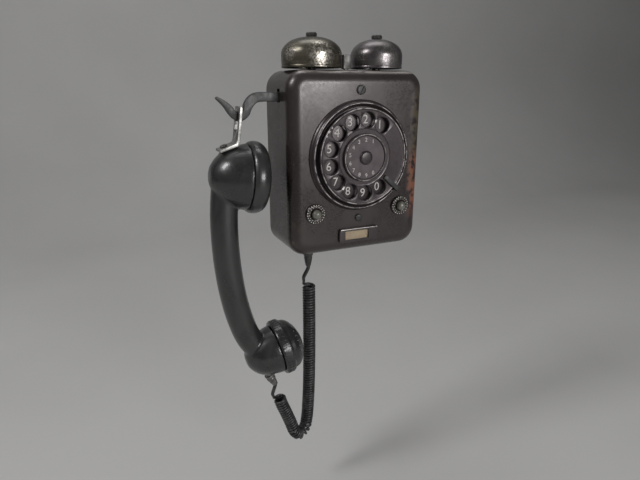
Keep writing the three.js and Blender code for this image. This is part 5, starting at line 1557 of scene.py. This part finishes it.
@dataclass
class PushButtons:
    """The two push buttons in their pipped collars."""

    finishes: Finishes
    rings: RingOfCopies
    x: float = BUTTON_X
    z: float = BUTTON_Z
    collar_radius: float = 8.3
    collar_height: float = 2.4
    button_radius: float = 3.9
    pip_rings: tuple[tuple[str, int, float, float, float], ...] = (
        ("pips", 22, 7.4, 0.42, 0.6), ("inner_pips", 15, 5.9, 0, 0.38))

    def collar(self, side: Side) -> None:
        """Collar with a ring of pips and an inner ring of finer ones: (name, count, ring radius, depth, size)."""
        axis = front_axis(side.value * self.x, self.z)
        seat, name = CASE_FRONT - SEAT, side.name.lower()
        front = seat - self.collar_height
        profile = rounded([(4.3, seat), (self.collar_radius, seat), (self.collar_radius, seat - 0.9),
                           (7.6, front + 0.6), (6.9, front), (5, front), (4.3, front + 0.5)], 0.35, 4, True)
        dress(turned(f"{name}_rosette", profile, axis, 72, closed=True), self.finishes.enamel, "case",
              (f"{name}_collar",))
        for label, count, ring, depth, size in self.pip_rings:
            pip = turned("pip", [(0, size), (size * 0.5, size * 0.86), (size * 0.86, size * 0.5), (size, 0), (0, -0.3)],
                         upright(0, 0), 10)
            ring_axis = Axis((side.value * self.x, front + depth, self.z), (0, -1, 0))
            made = self.rings.make(pip, count, ring, ring_axis, self.finishes.pip, 0.1, 0.3, 5 + side.value)
            made.name = f"{name}_{label}"
            dress(made, self.finishes.pip, "case")

    def button(self, side: Side) -> None:
        """Domed button with its stem."""
        name = side.name.lower()
        seat = CASE_FRONT - SEAT
        nose = seat - self.collar_height - 4.4
        back = CASE_FRONT + 8
        wide = self.button_radius
        profile = rounded([(0, nose), (1.6, nose + 0.25), (2.9, nose + 1.0), (3.6, nose + 2), (wide, nose + 3.2),
                           (wide, seat - 2.9), (2.9, seat - 2.9), (2.9, CASE_FRONT + 2.7), (4.5, CASE_FRONT + 2.7),
                           (4.5, CASE_FRONT + 3.7), (1.4, CASE_FRONT + 3.7), (1.4, back), (0, back)], 0.6)
        made = turned(f"{name}_push", profile, front_axis(side.value * self.x, self.z), 48)
        dress(made, self.finishes.button, f"{name}_button", (f"{name}_button",))

    def build(self) -> None:
        """Build both buttons."""
        for side in Side:
            self.collar(side)
            self.button(side)


# ---------------------------------------------------------------------------------------------- hook
@dataclass
class HookSwitch:
    """The flat hook lever that carries the handset."""

    finishes: Finishes
    thick: float = 5
    pivot: tuple[float, float] = (CASE_LEFT + 12.5, CASE_TOP - 20.5)
    upper: tuple[tuple[float, float], ...] = (
        (-3.6, -16.8), (-18.3, -17), (-23.1, -18.8), (-26, -21.4), (-28.6, -25.5), (-30, -30.4), (-32.5, -31.6),
        (-35.3, -30.6), (-38.1, -27.1), (-42.5, -23.5), (-49.2, -19.7))
    lower: tuple[tuple[float, float], ...] = (
        (-50.4, -21.2), (-44.5, -27.4), (-41.3, -32.2), (-37.9, -36.1), (-34.1, -38.1), (-30.3, -38), (-25.1, -34.4),
        (-22.5, -29.1), (-19.8, -25.7), (-17.2, -24.3), (-3.6, -24))

    def build(self) -> None:
        """Build the lever."""
        top, low = hung([self.upper[0]])[0][1], hung([self.lower[-1]])[0][1]
        tail_x, pivot_x = CASE_LEFT + 29.5, self.pivot[0]
        tail = [(pivot_x, low), (tail_x, low + 1.2), (tail_x, top - 2.2), (pivot_x, top)]
        outline = smooth_profile(hung(list(self.upper)), 1.0) + smooth_profile(hung(list(self.lower)), 1.0) + tail
        lever = slab("hook_arm", outline, HANG_Y + self.thick / 2, HANG_Y - self.thick / 2, 0.7)
        cut(lever, rod("pivot_bore", 2.4, HANG_Y - 4, HANG_Y + 4, front_axis(*self.pivot), 40))
        tidy_normals(lever)
        dress(lever, self.finishes.hook, "hook_lever", ("hook_lever",), 28)


# ---------------------------------------------------------------------------------------------- handset
@dataclass
class Handset:
    """Handset body, its two caps and the hanger it hangs by."""

    finishes: Finishes
    rings: RingOfCopies
    ear: tuple[float, float] = (CASE_LEFT - 22.9, CASE_TOP - 82.8)
    ear_tilt: float = -5.4
    mouth: tuple[float, float] = (CASE_LEFT - 3.1, CASE_TOP - 239.5)
    mouth_tilt: float = 13
    handle_radius: float = 11.2
    handle: tuple[tuple[float, float], ...] = (
        (-44.9, -77.2), (-46.9, -93), (-48.7, -112.7), (-48.9, -136.3), (-47.5, -160), (-44.1, -185.6), (-39.6, -205.3),
        (-33.5, -223), (-25.2, -236.8))
    ear_dome: tuple[tuple[float, float], ...] = (
        (0, -36), (6.4, -35.5), (10.8, -33.5), (15.2, -30.3), (18.7, -26.4), (21.6, -21.7), (23.9, -15.8), (26, -9.8),
        (26.8, -6.6))
    mouth_dome: tuple[tuple[float, float], ...] = (
        (0, -34.5), (5.9, -33.7), (10.8, -31.1), (15.4, -27), (18.3, -22.3), (20.1, -16.7), (21.5, -9.8), (22.1, -4.8))
    foot: tuple[tuple[float, float], ...] = ((-50.4, -60.3), (-37.6, -55.6))
    strip: tuple[tuple[float, float], ...] = (
        (-36.6, -52), (-33.7, -30), (-33.5, -27.1), (-31.3, -27.1), (-31.4, -30.4), (-34.2, -52.8), (-35.7, -56.2))
    hanger_wide: float = 14.8
    hanger_thick: float = 2.2
    voxel: float = 0.8
    ear_hollow: tuple[float, float] = (20.7, -15.4)
    mouth_hollow: tuple[float, float] = (18.3, -13)
    screw_place: tuple[float, float] = (-45.5, -58.4)
    rib_count: int = 44
    rib_circle: float = 24.75

    def hanging_axis(self, centre: tuple[float, float], tilt_deg: float) -> Axis:
        """Axis of a cap, in the hanging plane."""
        tilt = math.radians(tilt_deg)
        return Axis((centre[0], HANG_Y, centre[1]), (math.cos(tilt), 0, math.sin(tilt)))

    def dome(self, name: str, points: tuple[tuple[float, float], ...], axis: Axis) -> Piece:
        """Smooth dome of one end of the body."""
        run = smooth_profile(list(points), 0.8)
        run[0] = (0, points[0][1])
        return turned(name, run + [(0, points[-1][1])], axis, 96)

    def body(self) -> Piece:
        """Body: handle and both domes grown into one skin, hollow behind the caps."""
        ear, mouth = self.hanging_axis(self.ear, self.ear_tilt), self.hanging_axis(self.mouth, self.mouth_tilt)
        line = smooth_line([(x, HANG_Y, z) for x, z in hung(list(self.handle))], 2)
        handle = tube("grip", line, [self.handle_radius] * len(line), 40)
        (x0, z0), (x1, z1) = hung(list(self.foot))
        pad = slab("pad", [(x0 + 1.2, z0 - 6), (x1 - 0.4, z1 - 9), (x1 + 0.05, z1 - 1.8), (x0 + 1.65, z0 - 1.35)],
                   HANG_Y + 5.5, HANG_Y - 5.5)
        domes = [self.dome("ear", self.ear_dome, ear), self.dome("mouth", self.mouth_dome, mouth)]
        body = join("handset_grip", [handle, *domes, pad])
        remesh = body.modifiers.new("skin", "REMESH")
        remesh.mode = "VOXEL"
        remesh.voxel_size = self.voxel * MM * 1
        relax = body.modifiers.new("relax", "SMOOTH")
        relax.factor, relax.iterations = 0.5, 9
        bake(body)
        for axis, (radius, depth) in ((ear, self.ear_hollow), (mouth, self.mouth_hollow)):
            cut(body, rod("hollow", radius, depth, 2, axis, 64))
        cut(body, self.hanger_block("hanger_seat", SEAT, self.hanger_wide / 2 + SEAT))
        cut(body, rod("ferrule_bore", 3.3, -6, 4, ferrule_axis(), 32))
        return body

    def hanger_outline(self, grow: float) -> Profile:
        """Side outline of the bent hanger strip."""
        (x0, z0), (x1, z1) = hung(list(self.foot))
        half = self.hanger_thick / 2 + grow
        slope = math.atan2(z1 - z0, x1 - x0)
        nx, nz = -math.sin(slope) * half, math.cos(slope) * half
        return [(x0 + nx, z0 + nz), (x1 + nx + 0.4, z1 + nz + 0.2), *hung(list(self.strip)), (x1 - nx + 1.4, z1 - nz),
                (x0 - nx, z0 - nz)]

    def hanger_block(self, name: str, grow: float, half: float) -> Piece:
        """The hanger's strip as a plain block."""
        return slab(name, self.hanger_outline(grow), HANG_Y + half, HANG_Y - half)

    def hanger(self) -> None:
        """Hanger strip with its eye, and the screw that holds its foot."""
        outline = rounded(self.hanger_outline(0), 1.6, 5, True)
        plate = slab("hanger_strip", outline, HANG_Y + self.hanger_wide / 2, HANG_Y - self.hanger_wide / 2, 0.45)
        eye = rounded_rect(8.2, 16.1, 3.2, HANG_Y, CASE_TOP - 38.85, 6)
        corners = [(x, y, z) for x in (CASE_LEFT - 45, CASE_LEFT - 20) for y, z in eye]
        cut(plate, make_object("eye", corners, prism_faces(len(eye))))
        tidy_normals(plate)
        dress(plate, self.finishes.worn, "handset", ("hanger_plate",), 30)
        (x0, z0), (x1, z1) = hung(list(self.foot))
        slope = math.atan2(z1 - z0, x1 - x0)
        sx, sz = hung([self.screw_place])[0]
        axis = Axis((sx, HANG_Y, sz), (-math.sin(slope), 0, math.cos(slope)))
        lift = self.hanger_thick / 2 + SEAT
        screw = turned("foot_screw", rounded([(0, -5), (1.4, -5), (1.4, lift), (3, lift), (3, lift + 0.6),
                                              (2.3, lift + 1.3), (0, lift + 1.4)], 0.4), axis, 40)
        dress(screw, self.finishes.dark, "handset", ("hanger_screw",))

    def pierced(self, cap: Piece, axis: Axis, rows: tuple[tuple[int, float, float], ...]) -> None:
        """Drill a middle hole and rows of holes round it: (count, ring radius, hole radius)."""
        middle = rows[0][2]
        cut(cap, rod("middle_drill", middle, 0, 30, axis, 14))
        for count, ring, radius in rows:
            drill = rod("drill", radius, 0, 30, upright(0, 0), 14)
            cut(cap, self.rings.make(drill, count, ring, axis, self.finishes.bakelite))
        tidy_normals(cap)

    def ear_cap(self) -> None:
        """Dished ear cap with sound holes."""
        axis = self.hanging_axis(self.ear, self.ear_tilt)
        profile = rounded([(0, 2.6), (14, 3.2), (20.7, 4.4), (20.7, -6.3), (27, -6.3), (28.6, -4), (29, -2), (29, 0.8),
                           (28.3, 3.2), (27, 5.4), (25.2, 6.9), (23, 7.2), (14, 5.6), (0, 4.8)], 1.2, 5)
        cap = turned("ear_piece", profile, axis, 128)
        self.pierced(cap, axis, ((6, 5.2, 1.2), (12, 10.4, 1.2)))
        dress(cap, self.finishes.bakelite, "handset", ("ear_cap",), 35)

    def mouth_cap(self) -> None:
        """Domed, pierced mouth cap with grip ribs round its flange."""
        axis = self.hanging_axis(self.mouth, self.mouth_tilt)
        outer = rounded([(18.3, -4.5), (24.2, -4.5), (24.8, -3.4), (24.8, 3.4), (24.2, 4.4), (23, 5), (22, 9.4),
                         (19.6, 12.4), (14.6, 16), (8, 18.4), (0, 19.2)], 1.6, 5)
        inner = [(0, 17), (7.6, 16.2), (13.6, 14), (17.6, 10.6), (18.3, 7.4)]
        cap = turned("mouth_piece", inner + outer[:-1] + [(0, 19.2)], axis, 128)
        self.pierced(cap, axis, ((6, 5.4, 0.9), (12, 10.4, 0.9), (20, 15.6, 0.9), (26, 19.2, 0.8)))
        dress(cap, self.finishes.bakelite, "handset", ("mouth_cap",), 35)
        side = rounded([(-0.5, -3.6), (0.42, -3.0), (0.42, 3.0), (-0.5, 3.6)], 0.5, 3, True)
        rib = slab("rib", side, 0.55, -0.55, 0.2)
        ribs = self.rings.make(rib, self.rib_count, self.rib_circle, axis, self.finishes.bakelite)
        ribs.name = "mouth_grip_ribs"
        dress(ribs, self.finishes.bakelite, "handset")

    def build(self) -> None:
        """Build the handset."""
        dress(self.body(), self.finishes.bakelite, "handset", ("handset_body",), 50)
        self.ear_cap()
        self.mouth_cap()
        self.hanger()


# ---------------------------------------------------------------------------------------------- inside
@dataclass
class InnerWorks:
    """Finishes for the CAD pieces that show as they are."""

    finishes: Finishes

    def build(self) -> None:
        """Dress every CAD node that no new piece stands for."""
        f = self.finishes
        table: dict[str, Finish] = {
            "back_plate": f.plain, "left_button_spring": f.bright, "right_button_spring": f.bright,
            "left_switch_block": f.bakelite, "right_switch_block": f.bakelite, "left_bell_post": f.dark,
            "right_bell_post": f.dark, "ringer_bracket": f.dark, "ringer_yoke": f.dark, "left_ringer_coil": f.winding,
            "right_ringer_coil": f.winding, "dial_shaft": f.bright, "dial_frame": f.bright, "main_gear": f.brass,
            "impulse_pinion": f.brass, "governor_rotor": f.brass, "governor_bracket": f.bright, "dial_spring": f.dark,
            "impulse_contacts": f.brass, "hook_bracket": f.bright, "hook_pin": f.bright, "hook_contacts": f.brass,
            "induction_coil": f.winding_x, "capacitor": f.bright, "terminal_block": f.bakelite,
            "receiver_capsule": f.bright, "transmitter_capsule": f.bright,
        }
        for name, finish in table.items():
            node = bpy.data.objects[name]
            node.data.materials.clear()
            node.data.materials.append(finish)
            LOG.info("%s: dressed in %s", name, finish.name)


def main() -> None:
    """Build the telephone, piece by piece."""
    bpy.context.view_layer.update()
    Studio().build()
    finishes = Finishes()
    CurlyCord(finishes).build()
    tree = RingTree()
    rings = RingOfCopies(tree.build(), tree.sockets)
    CaseCover(finishes).build()
    Bells(finishes).build()
    Dial(finishes).build()
    PushButtons(finishes, rings).build()
    HookSwitch(finishes).build()
    Handset(finishes, rings).build()
    InnerWorks(finishes).build()


if __name__ == "__main__":
    main()
